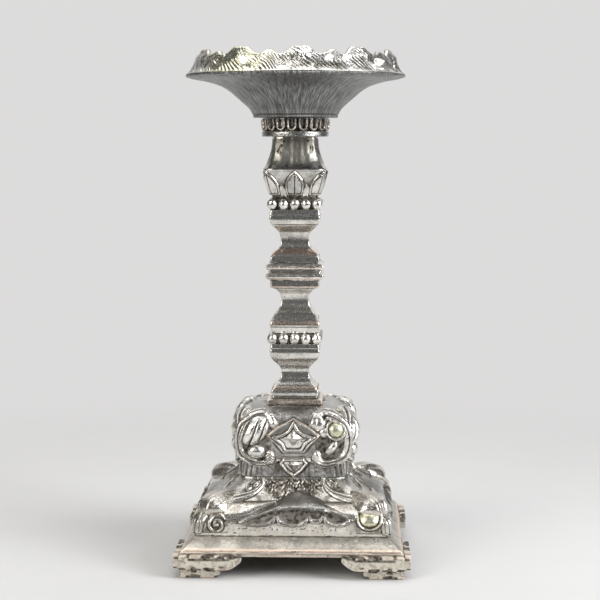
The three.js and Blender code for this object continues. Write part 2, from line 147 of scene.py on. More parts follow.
def path_distance(path, x, y):
    """(distance from the nearest point of a path, how far along the path that is from 0 to 1)."""
    path = np.asarray(path, float)
    lengths = np.hypot(*np.diff(path, axis=0).T)
    starts = np.concatenate([[0], np.cumsum(lengths)])
    nearest = np.full(np.shape(x), np.inf)
    along = np.zeros(np.shape(x))
    for (x0, y0), (x1, y1), length, start in zip(path[:-1], path[1:], lengths, starts):
        share = ((x - x0) * (x1 - x0) + (y - y0) * (y1 - y0)) / length ** 2
        share = np.clip(share, 0, 1)
        distance = np.hypot(x - x0 - share * (x1 - x0), y - y0 - share * (y1 - y0))
        closer = distance < nearest
        nearest = np.where(closer, distance, nearest)
        along = np.where(closer, (start + share * length) / starts[-1], along)
    return nearest, along


def inset(outline, x, y):
    """How far inside a closed outline a point is, or minus how far outside."""
    ring = [*outline, outline[0]]
    distance, _ = path_distance(ring, x, y)
    inside = np.zeros(np.shape(x), bool)
    for (x0, y0), (x1, y1) in zip(ring[:-1], ring[1:]):
        crosses = (y0 > y) != (y1 > y)
        reach = x0 + (y - y0) * (x1 - x0) / (y1 - y0 if y1 != y0 else 1)
        inside ^= crosses & (x < reach)
    return np.where(inside, distance, -distance)


def smooth_path(points, steps):
    """A curve through the points, as Catmull and Rom draw it."""
    points = np.asarray(points, float)
    ends = np.vstack([2 * points[0] - points[1], points, 2 * points[-1] - points[-2]])
    made = []
    for a, b, c, d in zip(ends[:-3], ends[1:-2], ends[2:-1], ends[3:]):
        for t in np.linspace(0, 1, steps, endpoint=False):
            squared = 2 * a - 5 * b + 4 * c - d
            cubed = 3 * b - a - 3 * c + d
            made.append(0.5 * (2 * b + (c - a) * t + squared * t ** 2 + cubed * t ** 3))
    made.append(points[-1])
    return np.array(made)


def spiral(centre, start, end, turns, phase):
    """A spiral round a centre, from radius start to radius end."""
    t = np.linspace(0, 1, 48)
    radius = start + (end - start) * t
    angle = phase + TAU * turns * t
    return np.stack([centre[0] + radius * np.cos(angle), centre[1] + radius * np.sin(angle)], axis=-1)


def rounded(distance, width, height):
    """The height of a round rib of that width over a point at a distance from its middle, or below 0."""
    reach = 1 - (2 * distance / width) ** 2
    return height * np.sign(reach) * np.sqrt(abs(reach))


def rib_along(path, widths, height, x, y):
    """(the height of a round rib on a path, how far a point is past its edge). widths are evenly spread."""
    distance, along = path_distance(path, x, y)
    width = np.interp(along, np.linspace(0, 1, len(widths)), widths)
    return rounded(distance, width, height), distance - width / 2


def boss(x, y, centre, radii, height):
    """The height of an oval dome, or below 0 outside it."""
    reach = 1 - ((x - centre[0]) / radii[0]) ** 2 - ((y - centre[1]) / radii[1]) ** 2
    return height * np.where(reach > 0, np.sqrt(np.maximum(reach, 0)), np.maximum(reach, -1))


# Surfaces

class Cushion:
    """Rounded squares stacked along Z. Each row is (height, half width, corner radius)."""

    def __init__(self, rows, base):
        self.z, self.half, self.corner = np.array(rows, float).T
        self.z = self.z + base

    def size(self, z):
        """(half width, corner radius) at a height."""
        return monotone(z, self.z, self.half), np.interp(z, self.z, self.corner)

    def reach(self, z):
        """How far it is along the surface from the middle of a face to a corner's diagonal."""
        half, corner = self.size(z)
        return half - corner + corner * math.pi / 4

    def point(self, s, z, lift=0.0, side=0):
        """The point at distance s along the surface from the middle of a side, raised off it by lift."""
        s, z, lift = np.broadcast_arrays(*(np.asarray(v, float) for v in (s, z, lift)))
        half, corner = self.size(z)
        straight = half - corner
        turn = np.clip((abs(s) - straight) / corner, 0, QUARTER)
        past = np.maximum(abs(s) - straight - corner * QUARTER, 0)
        along = np.minimum(abs(s), straight)
        x = along + corner * np.sin(turn)
        y = -straight - corner * np.cos(turn) + past
        lean = (self.size(z + 0.05)[0] - self.size(z - 0.05)[0]) / 0.1
        scale = lift / np.sqrt(1 + lean ** 2)
        x = (x + scale * np.sin(turn)) * np.sign(s)
        y = y - scale * np.cos(turn)
        height = z - scale * lean
        c, n = [(1, 0), (0, 1), (-1, 0), (0, -1)][side]
        return np.stack([c * x - n * y, n * x + c * y, height], axis=-1)

    def columns(self, z, straight_steps, corner_steps):
        """(s, z) of a grid on one side and the corner after it, with a row for each height in z."""
        half, corner = self.size(z)
        flat = (half - corner)[:, None]
        arc = corner[:, None] * QUARTER
        shares = np.linspace(0, 1, corner_steps + 1)[1:-1]
        s = np.concatenate([flat * np.linspace(-1, 1, straight_steps + 1), flat + arc * shares], axis=1)
        return s, np.broadcast_to(z[:, None], s.shape)

    def rings(self, s, z, lift=0.0):
        """The grid's points on all four sides, which close into rings."""
        return np.concatenate([self.point(s, z, lift, side) for side in range(4)], axis=1)


def wrapped_quads(rows, columns):
    """Quads of a grid that wraps round its columns and round its rows."""
    r = np.arange(rows)[:, None]
    c = np.arange(columns)[None, :]
    down = ((r + 1) % rows) * columns
    right = (c + 1) % columns
    quads = np.stack([r * columns + c, r * columns + right, down + right, down + c], axis=-1)
    return quads.reshape(-1, 4)


def ring_shell(rings, grime=0.0, edge=0.0):
    """A closed shell of rings that lead up the outside and down the inside."""
    grime, edge = (np.broadcast_to(mark, rings.shape[:2]).ravel() for mark in (grime, edge))
    return Shell(rings.reshape(-1, 3), wrapped_quads(*rings.shape[:2]), grime, edge)


def lined_shell(outer, lining, grime, edge=0.0, lining_darkening=0.0):
    """A closed shell of outer rings that carry the grime, the painted shade and the rubbed edges, and a plain
    lining.
    """
    blank = np.zeros(lining.shape[:2])
    grime = np.concatenate([np.broadcast_to(grime, outer.shape[:2]), blank + lining_darkening])
    edge = np.concatenate([np.broadcast_to(edge, outer.shape[:2]), blank])
    return ring_shell(np.concatenate([outer, lining]), grime, edge)


def patch_shell(points, backs, kept, grime, edge):
    """A closed shell of the grid cells that are kept, with a back some way behind its face."""
    behind = grime.size
    index = np.arange(behind).reshape(points.shape[:2])
    cells = np.stack([index[:-1, :-1], index[:-1, 1:], index[1:, 1:], index[1:, :-1]], axis=-1)[kept]
    edges = np.concatenate([cells[:, [i, (i + 1) % 4]] for i in range(4)])
    _, first, count = np.unique(np.sort(edges, axis=1), axis=0, return_index=True, return_counts=True)
    start, end = edges[first[count == 1]].T
    walls = np.stack([end, start, start + behind, end + behind], axis=-1)
    both = np.concatenate([points.reshape(-1, 3), backs.reshape(-1, 3)])
    quads = np.concatenate([cells, cells[:, ::-1] + behind, walls])
    used, compact = np.unique(quads, return_inverse=True)
    marks = [np.tile(mark.ravel(), 2)[used] for mark in (grime, edge)]
    return Shell(both[used], compact.reshape(quads.shape), *marks)


SUNK = 0.7
BACK_DEPTH = SUNK + 0.6


def raised_patch(surface, s, z, side, drawn):
    """A shell of what a drawing raises off a surface. drawn is (lift, grime and painted shade, edge)."""
    lift, grime, edge = drawn
    raised = lift > -SUNK
    kept = raised[:-1, :-1] | raised[:-1, 1:] | raised[1:, 1:] | raised[1:, :-1]
    face = surface.point(s, z, np.maximum(lift, -SUNK), side)
    return patch_shell(face, surface.point(s, z, -BACK_DEPTH, side), kept, grime, edge)


def grid(s_range, z_range, step):
    """The two coordinates of a grid over a patch."""
    return np.meshgrid(*(np.arange(low, high + step, step) for low, high in (s_range, z_range)))


def relief(surface, s_range, z_range, step, draw, side=0):
    """Relief on one side of a cushion. draw gets the distance s from the middle of the side."""
    s, z = grid(s_range, z_range, step)
    return raised_patch(surface, s, z, side, draw(s, z))


def corner_relief(surface, reach_out, z_range, step, draw):
    """Relief round the front left corner. draw gets the distance x from the middle of the nearer face, and
    whether that face is the other one, to the corner's left."""
    w, z = grid((-reach_out, reach_out), z_range, step)
    reach = surface.reach(z)
    return raised_patch(surface, reach + w, z, 3, draw(reach - abs(w), z, w < 0))


def joined(shells):
    """Several shells as one."""
    offsets = np.cumsum([0] + [len(shell.points) for shell in shells[:-1]])
    moved = [shell._replace(quads=shell.quads + offset) for shell, offset in zip(shells, offsets)]
    return Shell(*(np.concatenate(parts) for parts in zip(*moved)))


def turned_by(shell, quarter):
    """A shell turned about Z by quarter turns."""
    turn = np.array(Matrix.Rotation(quarter * QUARTER, 3, "Z"))
    return shell._replace(points=shell.points @ turn.T)


def gathered(values, quads, count):
    """The sum at each point of what its faces carry along three axes."""
    sums = [sum(np.bincount(quads[:, i], values[:, axis], count) for i in range(4)) for axis in range(3)]
    return np.stack(sums, axis=-1)


def hollowness(shell, passes=5):
    """How far each point lies under the smoothed surface round it, in mm: below 0 on ridges."""
    points, quads = shell.points, shell.quads
    a, b, c, d = (points[quads[:, i]] for i in range(4))
    normals = gathered(np.cross(c - a, d - b), quads, len(points))
    normals /= np.maximum(np.linalg.norm(normals, axis=1), 1e-9)[:, None]
    uses = np.bincount(quads.ravel(), minlength=len(points))[:, None]
    smoothed = points
    for _ in range(passes):
        smoothed = gathered(smoothed[quads].mean(axis=1), quads, len(points)) / uses
    return ((smoothed - points) * normals).sum(axis=1)


def new_object(name, points, faces):
    """A mesh object in the scene."""
    mesh = bpy.data.meshes.new(name)
    mesh.from_pydata(points, [], faces)
    made = bpy.data.objects.new(name, mesh)
    bpy.context.scene.collection.objects.link(made)
    return made


def put(node, shell, material, body="stand", name=None):
    """Makes the piece that stands for a CAD node, with painted shade darkening its hollows and its ridges
    rubbed clean, and hands it to the frame.
    """
    hollow = hollowness(shell)
    # Painted shade: the hollows of the relief are darkened, and the darkening is taken off its ridges.
    hollow_shade_and_ridge_rubbing = 0.95 * smoothstep(0.035, 0.2, hollow) - 0.3 * smoothstep(0.03, 0.15, -hollow)
    made = new_object(f"{name or node}_look", (shell.points * MM).tolist(), shell.quads.tolist())
    # The grime layer holds both grime and painted shade.
    for label, values in (("grime", shell.grime + hollow_shade_and_ridge_rubbing), ("edge", shell.edge)):
        layer = made.data.attributes.new(label, "FLOAT", "POINT")
        layer.data.foreach_set("value", np.clip(values, 0, 1).astype(np.float32))
    made.data.validate()
    made.data.shade_smooth()
    made.data.materials.append(material)
    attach(made, body)
    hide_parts(node)


def put_four(shells, places, material):
    """Each shell on each of four sides or corners. shells gives a family of CAD nodes its shell."""
    for quarter, place in enumerate(places):
        for family, shell in shells.items():
            put(f"{family}_{place}", turned_by(shell, quarter), material)


# Materials

class Nodes:
    """Short ways to write a material's node tree."""

    def __init__(self, name):
        self.material = bpy.data.materials.new(name)
        self.material.use_nodes = True
        self.tree = self.material.node_tree

    def fill(self, node, inputs):
        """Links each of a node's sockets, or sets its number or colour."""
        for name, value in inputs.items():
            if isinstance(value, bpy.types.NodeSocket):
                self.tree.links.new(value, node.inputs[name])
            else:
                node.inputs[name].default_value = value

    def add(self, kind, inputs, output=0, **settings):
        """An output of a new node with those settings and sockets."""
        made = self.tree.nodes.new(f"ShaderNode{kind}")
        for name, value in settings.items():
            setattr(made, name, value)
        self.fill(made, inputs)
        return made.outputs[output]

    def finished(self, inputs):
        """The material, once its shader's sockets are filled."""
        self.fill(self.tree.nodes["Principled BSDF"], inputs)
        return self.material

    def place(self):
        """Object coordinates."""
        return self.add("TexCoord", {}, "Object")

    def from_axis(self):
        """(x, y, how far the surface is from the Z axis), in metres."""
        place = self.tree.nodes.new("ShaderNodeSeparateXYZ")
        self.fill(place, {0: self.place()})
        x, y = place.outputs["X"], place.outputs["Y"]
        squares = self.math("ADD", self.math("MULTIPLY", x, x), self.math("MULTIPLY", y, y))
        return x, y, self.math("SQRT", squares)

    def away_from(self, point):
        """How far the surface is from a point, in metres."""
        return self.add("VectorMath", {0: self.place(), 1: point}, "Value", operation="DISTANCE")

    def noise(self, per_metre, detail=4.0, roughness=0.6, vector=None, distortion=0.0):
        """Cloudy noise from 0 to 1."""
        inputs = {"Vector": vector or self.place(), "Scale": per_metre, "Detail": detail,
                  "Roughness": roughness, "Distortion": distortion}
        return self.add("TexNoise", inputs, "Fac")

    def attribute(self, name):
        """A number that each point of the mesh carries."""
        return self.add("Attribute", {}, "Fac", attribute_name=name)

    def math(self, operation, a, b=0.0):
        """Two numbers, added, multiplied and so on."""
        kept_in = operation in ("ADD", "MULTIPLY", "SUBTRACT")
        return self.add("Math", {0: a, 1: b}, operation=operation, use_clamp=kept_in)

    def between(self, value, low, high, start=0.0, end=1.0):
        """A value taken smoothly from low..high to start..end."""
        inputs = {"Value": value, "From Min": low, "From Max": high, "To Min": start, "To Max": end}
        return self.add("MapRange", inputs, "Result", interpolation_type="SMOOTHSTEP")

    def mix(self, share, a, b):
        """Two colours, mixed."""
        a, b = ((*value, 1) if isinstance(value, tuple) else value for value in (a, b))
        return self.add("Mix", {0: share, 6: a, 7: b}, 2, data_type="RGBA")

    def blend(self, share, a, b):
        """Two numbers, mixed."""
        return self.add("Mix", {0: share, 2: a, 3: b})

    def bump(self, height, strength, distance, normal=None):
        """The normal of a surface with that height, on top of another normal."""
        inputs = {"Height": height, "Strength": strength, "Distance": distance}
        if normal:
            inputs["Normal"] = normal
        return self.add("Bump", inputs, "Normal")


SPECK = (0.16, 0.15, 0.135)
REFLECTED_YELLOW = (0.86, 0.84, 0.58)
WHITE_METAL = (0.74, 0.69, 0.6)
COPPER = (0.95, 0.76, 0.62)
TARNISH_AND_SHADE = (0.15, 0.135, 0.11)
CRUST_AND_DEEP_SHADE = (0.03, 0.022, 0.015)


def worn_plate(name, bright, dull, dull_share, gloss, dull_gloss, pale_share=0.0, lines=(1, 1, 1),
               line_depth=0.3, copper=0.6, dents=0.4, speckle=0.5, yellow_reflection_at=None):
    """Silver plating over white metal: bright and dull clouds, pale worn patches, rubbed edges with a copper
    tinge, grime and painted shade in the hollows, and fine lines. A painted yellow reflection lies round a
    point, when one is given."""
    n = Nodes(name)
    blotches = n.noise(380, 6, 0.75, distortion=0.8)
    dulled = n.between(n.noise(95, 5, 0.65), 0.52 - 0.35 * dull_share, 0.88 - 0.35 * dull_share)
    speckled = n.between(n.noise(900, 3, 0.7), 0.54, 0.66)
    colour = n.mix(dulled, bright, dull)
    colour = n.mix(n.math("MULTIPLY", speckled, speckle), colour, SPECK)
    # Painted reflection: a yellow patch round that point stands for the reflection of something yellow.
    if yellow_reflection_at:
        near = n.between(n.away_from(yellow_reflection_at), 0.01, 0.026, 0.8, 0.0)
        colour = n.mix(n.math("MULTIPLY", near, n.between(blotches, 0.3, 0.6)), colour, REFLECTED_YELLOW)
    pale = n.between(blotches, 0.62 - 0.28 * pale_share, 0.74 - 0.28 * pale_share) if pale_share else 0.0
    colour = n.mix(pale, colour, WHITE_METAL)
    rubbed = n.math("MULTIPLY", n.attribute("edge"), n.between(n.noise(420, 4, 0.7), 0.22, 0.52))
    colour = n.mix(n.math("MULTIPLY", rubbed, copper), colour, COPPER)
    # The grime layer darkens the plating here, as tarnish and as painted shade in the hollows.
    tarnish_and_shade = n.between(n.attribute("grime"), 0.05, 0.7, 0.0, 0.85)
    colour = n.mix(tarnish_and_shade, colour, TARNISH_AND_SHADE)
    grains = n.math("MULTIPLY", n.between(n.noise(700, 4, 0.75), 0.62, 0.74), 0.3)
    # Where the grime layer is deepest it turns to black crust and painted deep shade.
    crust_and_deep_shade = n.math("ADD", n.attribute("grime"), grains)
    crust_and_deep_shade = n.math("MULTIPLY", crust_and_deep_shade, n.between(n.noise(520, 3), 0.3, 0.66, 0.3, 1.0))
    crust_and_deep_shade = n.between(crust_and_deep_shade, 0.5, 0.9)
    rough = n.blend(dulled, gloss, dull_gloss)
    rough = n.math("ADD", rough, n.between(n.noise(1400, 2), 0.4, 0.8, 0.0, 0.12))
    rough = n.blend(tarnish_and_shade, n.blend(pale, rough, 0.42), 0.5)
    stretched = n.add("Mapping", {"Vector": n.place(), "Scale": lines})
    normal = n.bump(n.noise(900, 5, 0.7, stretched), line_depth, 0.0004)
    normal = n.bump(n.noise(330, 4, 0.6), dents, 0.0012, normal)
    normal = n.bump(n.math("SUBTRACT", 1.0, crust_and_deep_shade), 0.5, 0.0003, normal)
    return n.finished({"Base Color": n.mix(crust_and_deep_shade, colour, CRUST_AND_DEEP_SHADE),
                       "Metallic": n.blend(crust_and_deep_shade, n.blend(pale, 1.0, 0.55), 0.1),
                       "Roughness": n.blend(crust_and_deep_shade, rough, 0.85),
                       "Normal": normal})


def radial_plate(name):
    """Dull grey metal with fine lines that run out from the axis."""
    n = Nodes(name)
    x, y, radius = n.from_axis()
    spokes = n.add("CombineXYZ", {"X": n.math("DIVIDE", x, radius), "Y": n.math("DIVIDE", y, radius),
                                  "Z": n.math("MULTIPLY", radius, 3.2)})
    lines = n.noise(60, 6, 0.75, spokes)
    clouds = n.between(n.noise(70, 4, 0.6), 0.5, 0.75, 0.0, 0.5)
    # The grime layer darkens the pan, as grime and as painted shade in the hollows.
    grime = n.between(n.attribute("grime"), 0.3, 0.8)
    colour = n.mix(n.between(lines, 0.4, 0.66), (0.1, 0.102, 0.103), (0.46, 0.46, 0.45))
    colour = n.mix(clouds, colour, (0.22, 0.21, 0.19))
    return n.finished({"Base Color": n.mix(grime, colour, (0.07, 0.06, 0.05)),
                       "Metallic": n.blend(grime, 0.95, 0.2),
                       "Roughness": n.between(lines, 0.3, 0.7, 0.42, 0.28),
                       "Normal": n.bump(lines, 0.55, 0.0009)})


def plain_steel(name):
    """Zinc-plated steel of the rod, its fasteners and the spike."""
    n = Nodes(name)
    clouds = n.noise(160, 4)
    colour = n.mix(n.between(clouds, 0.35, 0.7), (0.5, 0.5, 0.49), (0.33, 0.31, 0.28))
    return n.finished({"Base Color": colour,
                       "Metallic": 1.0,
                       "Roughness": n.between(clouds, 0.3, 0.7, 0.3, 0.5),
                       "Normal": n.bump(n.noise(1500, 3), 0.2, 0.0002)})


BRIGHT = worn_plate("bright_plate", (0.93, 0.91, 0.87), (0.46, 0.445, 0.415), 0.4, 0.1, 0.24)
DOME_PLATE = worn_plate("dome_plate", (0.64, 0.62, 0.58), (0.27, 0.26, 0.235), 0.55, 0.17, 0.32,
                        pale_share=0.1)
DARK_PLATE = worn_plate("dark_plate", (0.58, 0.57, 0.545), (0.23, 0.225, 0.215), 0.55, 0.18, 0.3)
STEM_PLATE = worn_plate("stem_plate", (0.84, 0.815, 0.775), (0.5, 0.48, 0.45), 0.42, 0.19, 0.27,
                        lines=(0.25, 0.25, 2.2), line_depth=0.08, copper=0.85, dents=0.09, speckle=0.4)
FOOT_PLATE = worn_plate("foot_plate", (0.6, 0.54, 0.45), (0.36, 0.305, 0.235), 0.5, 0.28, 0.42,
                        pale_share=0.78, copper=0.7)
PLINTH_PLATE = worn_plate("plinth_plate", (0.66, 0.615, 0.545), (0.34, 0.315, 0.28), 0.5, 0.27, 0.38,
                          pale_share=0.25, lines=(1.6, 1.6, 0.4), copper=0.95)
FRIEZE_PLATE = worn_plate("frieze_plate", (0.9, 0.865, 0.81), (0.62, 0.59, 0.54), 0.35, 0.26, 0.4,
                          pale_share=0.6, copper=0.8, dents=0.2, speckle=0.3)
SCROLL_PLATE = worn_plate("scroll_plate", (0.74, 0.715, 0.665), (0.38, 0.36, 0.325), 0.45, 0.17, 0.3,
                          dents=0.2, speckle=0.35)
KNOP_PLATE = worn_plate("knop_plate", (0.8, 0.78, 0.735), (0.36, 0.35, 0.33), 0.45, 0.1, 0.2,
                        line_depth=0.12, dents=0.16)
# The crown plate carries a painted yellow reflection at its front left.
CROWN_PLATE = worn_plate("crown_plate", (0.82, 0.805, 0.765), (0.36, 0.35, 0.32), 0.5, 0.14, 0.26,
                         yellow_reflection_at=(-0.03, -0.044, 0.256))
GILT = worn_plate("gilt_boss", (0.84, 0.82, 0.62), (0.66, 0.65, 0.48), 0.4, 0.28, 0.36,
                  line_depth=0.15, dents=0.2)
PAN_PLATE = radial_plate("pan_plate")
STEEL = plain_steel("zinc_steel")


# Castings of the stem

BORE = 2.8


def bore_wall(rings):
    """The wall of a casting's bore, as one ring at its top and one at its foot."""
    angle = np.arctan2(rings[0, :, 1], rings[0, :, 0])
    return np.array([np.stack([BORE * np.cos(angle), BORE * np.sin(angle), np.full(len(angle), z)], axis=-1)
                     for z in (rings[-1, 0, 2], rings[0, 0, 2])])


def square_casting(node, rows, creases, rubbed, material=STEM_PLATE):
    """A square stem casting: its creases and its ends are darkened in broken patches, and the plating is
    rubbed off its proud edges.
    rows holds (height, half width); creases and rubbed hold heights."""
    low, high = bottom(node), top(node)
    surface = Cushion([(z, half, min(0.8, 0.07 * half)) for z, half in rows], low)
    z = np.concatenate([np.arange(low, high, 0.3), [high]])
    for crease in creases:
        z = z[abs(z - low - crease) > 0.12]
    z = np.sort(np.concatenate([z, [low + crease + step for crease in creases for step in (-0.16, 0, 0.16)]]))
    z = z[(z >= low) & (z <= high)]
    rise = z - low
    groove = 0.22 * sum(bell(rise - crease, 0.14) for crease in creases)
    rings = surface.rings(*surface.columns(z, 22, 3), -groove[:, None])
    rings[..., :2] *= 1 + (0.07 / 12) * noise_at(rings, 6, DENTS)[..., None]
    grime = bell(rise, 0.35) + bell(z - high, 0.35) + sum(bell(rise - crease, 0.2) for crease in creases)
    grime = grime[:, None] * (0.9 + 1.1 * noise_at(rings, 2.4))
    edge = sum(bell(rise - at, 0.6) for at in rubbed)
    put(node, lined_shell(rings, bore_wall(rings), grime, edge[:, None]), material)


square_casting("stem_foot_block", [(0, 13.9), (0.4, 14.2), (2.4, 14.2), (2.9, 13.7), (3.1, 11.7),
                                   (4.4, 11.5)],
               [3.2], [0.5, 2.4])
square_casting("lower_baluster", [(0, 12.1), (1.6, 12.2), (3.1, 12.0), (3.4, 11.5), (4.1, 11.2), (5.8, 9.5),
                                  (7.6, 8.1), (9.4, 7.33), (11.9, 7.07), (14.9, 8.04), (16.9, 9.8),
                                  (18.1, 11.1), (19.5, 12.05), (21, 12.6), (22.6, 12.85), (24.2, 12.7),
                                  (26.8, 12.4)],
               [3.3, 24.4], [3.0, 4.3])
square_casting("middle_baluster", [(0, 11.5), (1.1, 12.0), (2.6, 12.45), (3.4, 12.7), (4.6, 12.8),
                                   (6.2, 12.3), (7.4, 11.6), (9.8, 10.3), (12.4, 8.24), (14.2, 7.47),
                                   (16.2, 7.06), (18.9, 7.34), (21.7, 9.14), (22.9, 10.75), (23.4, 12.3),
                                   (24, 12.55), (27.1, 12.5)],
               [3.3, 7.0, 23.2], [4.8, 5.6, 24])
square_casting("upper_baluster", [(0, 12.6), (2.6, 12.55), (3.2, 12.1), (4.9, 11.2), (6.6, 8.74), (8.1, 7.65),
                                  (10.7, 7.24), (14.6, 7.87), (16.9, 9.6), (18.1, 11.0), (19.3, 12.0),
                                  (20.7, 12.6), (22.4, 12.9), (23.8, 12.85), (26.9, 12.5)],
               [3.0, 19.2, 24.0], [4.4, 5.4, 6.4])

TORUS_RADIUS = 1.7


def torus_block():
    """The middle block: two half rounds with a waist between them."""
    node = "double_torus_block"
    height = top(node) - bottom(node)
    waist = half_width(node) - TORUS_RADIUS
    centres = (0.24 * height, 0.76 * height)
    rows = [(0, waist - 0.5), (0.35, waist), (height - 0.35, waist), (height, waist - 0.5)]
    for centre in centres:
        for angle in np.radians(np.linspace(-80, 80, 9)):
            rows.append((centre + TORUS_RADIUS * math.sin(angle), waist + TORUS_RADIUS * math.cos(angle)))
    creases = (height / 2 - 0.25, height / 2 + 0.25)
    square_casting(node, sorted(rows), creases, (centres[0] - 1, centres[1]), BRIGHT)


torus_block()


def turned(z, radius, columns):
    """Rings round Z. The heights and radii are one for each ring, or one for each point."""
    z, radius = (value if np.ndim(value) == 2 else np.asarray(value, float)[:, None] for value in (z, radius))
    z, radius, angle = np.broadcast_arrays(z, radius, np.linspace(0, TAU, columns, endpoint=False))
    return np.stack([radius * np.cos(angle), radius * np.sin(angle), z], axis=-1)


BEAD_RADIUS = 2.8
BEAD_STRETCH = np.array([1, 1, 1.08])


def bead(centre, seed):
    """A slightly uneven bead, darkened on the side where it sits on its strip."""
    polar = np.linspace(0.02, math.pi - 0.02, 16)
    way = turned(-np.cos(polar), np.sin(polar), 24)
    outwards = np.array([centre[0], centre[1], 0]) / np.hypot(centre[0], centre[1])
    radius = BEAD_RADIUS * (0.96 + 0.04 * noise_at(way * 3 + seed * 7.3, 2.2))
    grime = 0.8 * smoothstep(-0.2, -0.6, way @ outwards)
    return ring_shell(way * radius[..., None] * BEAD_STRETCH + centre, grime)


def bead_band(node):
    """A strip with a bead at each corner and three between, all one casting."""
    low, high = bottom(node), top(node)
    reach = half_width(node) - BEAD_RADIUS
    strip = Cushion([(0, reach - 0.6, 0.8), (high - low, reach - 0.6, 0.8)], low)
    rings = strip.rings(*strip.columns(np.linspace(low, high, 6), 14, 3))
    shells = [lined_shell(rings, bore_wall(rings), 1.1, lining_darkening=1.1)]
    for side in range(4):
        for i in range(4):
            centre = (-reach + i * reach / 2, -reach, (low + high) / 2)
            shells.append(turned_by(bead(centre, side * 4 + i), side))
    put(node, joined(shells), BRIGHT)


bead_band("lower_bead_band")
bead_band("upper_bead_band")


# Feet and plinth

FOOT_VOXEL = 0.42
SOLE_LENGTH = 20.5
SOLE_WIDTH = 5.9
SOLE_SHARE = 0.43
PLAQUE_LENGTH = 31


def rough_block(prisms, wear):
    """One cast lump of several prisms, given as (outline in X and Z, near Y, far Y). wear(points) gives how
    deep each point is worn, its grime and painted shade, and its rubbed edges."""
    points, faces = [], []
    for outline, near, far in prisms:
        start, count = len(points), len(outline)
        points += [(x, y, z) for y in (near, far) for x, z in outline]
        faces.append([start + i for i in range(count)])
        faces.append([start + count + i for i in reversed(range(count))])
        for i in range(count):
            j = (i + 1) % count
            faces.append([start + j, start + i, start + count + i, start + count + j])
    lump = new_object("lump", points, faces)
    fuse = lump.modifiers.new("fuse", "REMESH")
    fuse.mode = "VOXEL"
    fuse.voxel_size = FOOT_VOXEL
    soften = lump.modifiers.new("soften", "SMOOTH")
    soften.factor = 0.5
    soften.iterations = 3
    made = lump.evaluated_get(bpy.context.evaluated_depsgraph_get()).to_mesh()
    found = {name: np.empty(len(made.vertices) * 3) for name in ("co", "normal")}
    for name, values in found.items():
        made.vertices.foreach_get(name, values)
    quads = np.array([list(face.vertices) for face in made.polygons if len(face.vertices) == 4])
    lump.to_mesh_clear()
    mesh = lump.data
    bpy.data.objects.remove(lump)
    bpy.data.meshes.remove(mesh)
    points, normals = (values.reshape(-1, 3) for values in found.values())
    depth, grime, edge = wear(points)
    return Shell(points - normals * depth[:, None], quads, grime, edge)


def foot_shell():
    """The front left bracket foot: an L-shaped sole under two plaques that stand proud of the plinth."""
    low, high, plaque_top = bottom("foot_front_left"), bottom("plinth_frame"), top("foot_front_left")
    outer = half_width("plinth_frame") + 0.2
    proud = -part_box("foot_front_left")[0][0] / MM
    tier = SOLE_SHARE * high
    inner = outer - SOLE_WIDTH
    sole_end = SOLE_LENGTH - outer
    plaque_end = PLAQUE_LENGTH - outer
    sole = [(-outer, low), (sole_end - 2, low), (sole_end - 0.5, low + 0.8), (sole_end, tier),
            (sole_end, high), (-outer, high)]
    lip = [(plaque_end - 8 * (1 - t), tier + (high - 1.6 - tier) * t ** 1.8) for t in np.linspace(0, 1, 7)]
    plaque = [(-outer, tier), (plaque_end - 9, tier), *lip, (plaque_end, plaque_top), (-outer, plaque_top)]
    under = [(x, min(z, high)) for x, z in plaque]
    legs = [(sole, -outer, -inner), (plaque, -proud, -outer), (under, -outer - 0.2, -inner)]
    chips = Grain(23)

    def wear(points):
        x, y, z = points.T
        height = np.minimum.reduce([abs(z - level) for level in (tier, low, plaque_top)])
        near_edge = smoothstep(2.1, 0.6, height + 0.9 * noise_at(points, 3.2, chips))
        bites = near_edge * smoothstep(-0.14, 0.16, noise_at(points, 2.3, chips))
        scars = smoothstep(0.42, 0.6, noise_at(points + 40, 3.8, chips))
        depth = 0.3 * bites + 0.1 * scars + 0.12 * noise_at(points, 5, DENTS)
        ends = smoothstep(outer - 0.3, outer + 0.4, -x) * smoothstep(outer + 0.2, outer - 0.2, -y)
        # The band at the tier step is painted shadow under the plaque as well as torn plating; the band under
        # the plaque's top is torn plating.
        torn = bell(z - plaque_top + 1.9, 0.55) + bell(z - tier + 0.2, 0.5)
        torn = torn * smoothstep(-0.35, 0.05, chips(x / 3.5, y / 3.5, 0.7))
        return depth, 1.7 * bites + 0.4 * ends + 1.3 * torn, 0.5 * smoothstep(1.6, 0.4, height)

    front = rough_block(legs, wear)
    swapped = front._replace(points=front.points[:, [1, 0, 2]], quads=front.quads[:, ::-1])
    return joined([front, swapped])


def square_rings(rows, straight_steps, corner_steps):
    """Rings of rounded squares, one for each (height, half width, corner radius)."""
    rings = []
    for z, half, corner in rows:
        one = Cushion([(z - 1, half, corner), (z + 1, half, corner)], 0)
        rings.append(one.rings(*one.columns(np.array([float(z)]), straight_steps, corner_steps))[0])
    return np.array(rings)


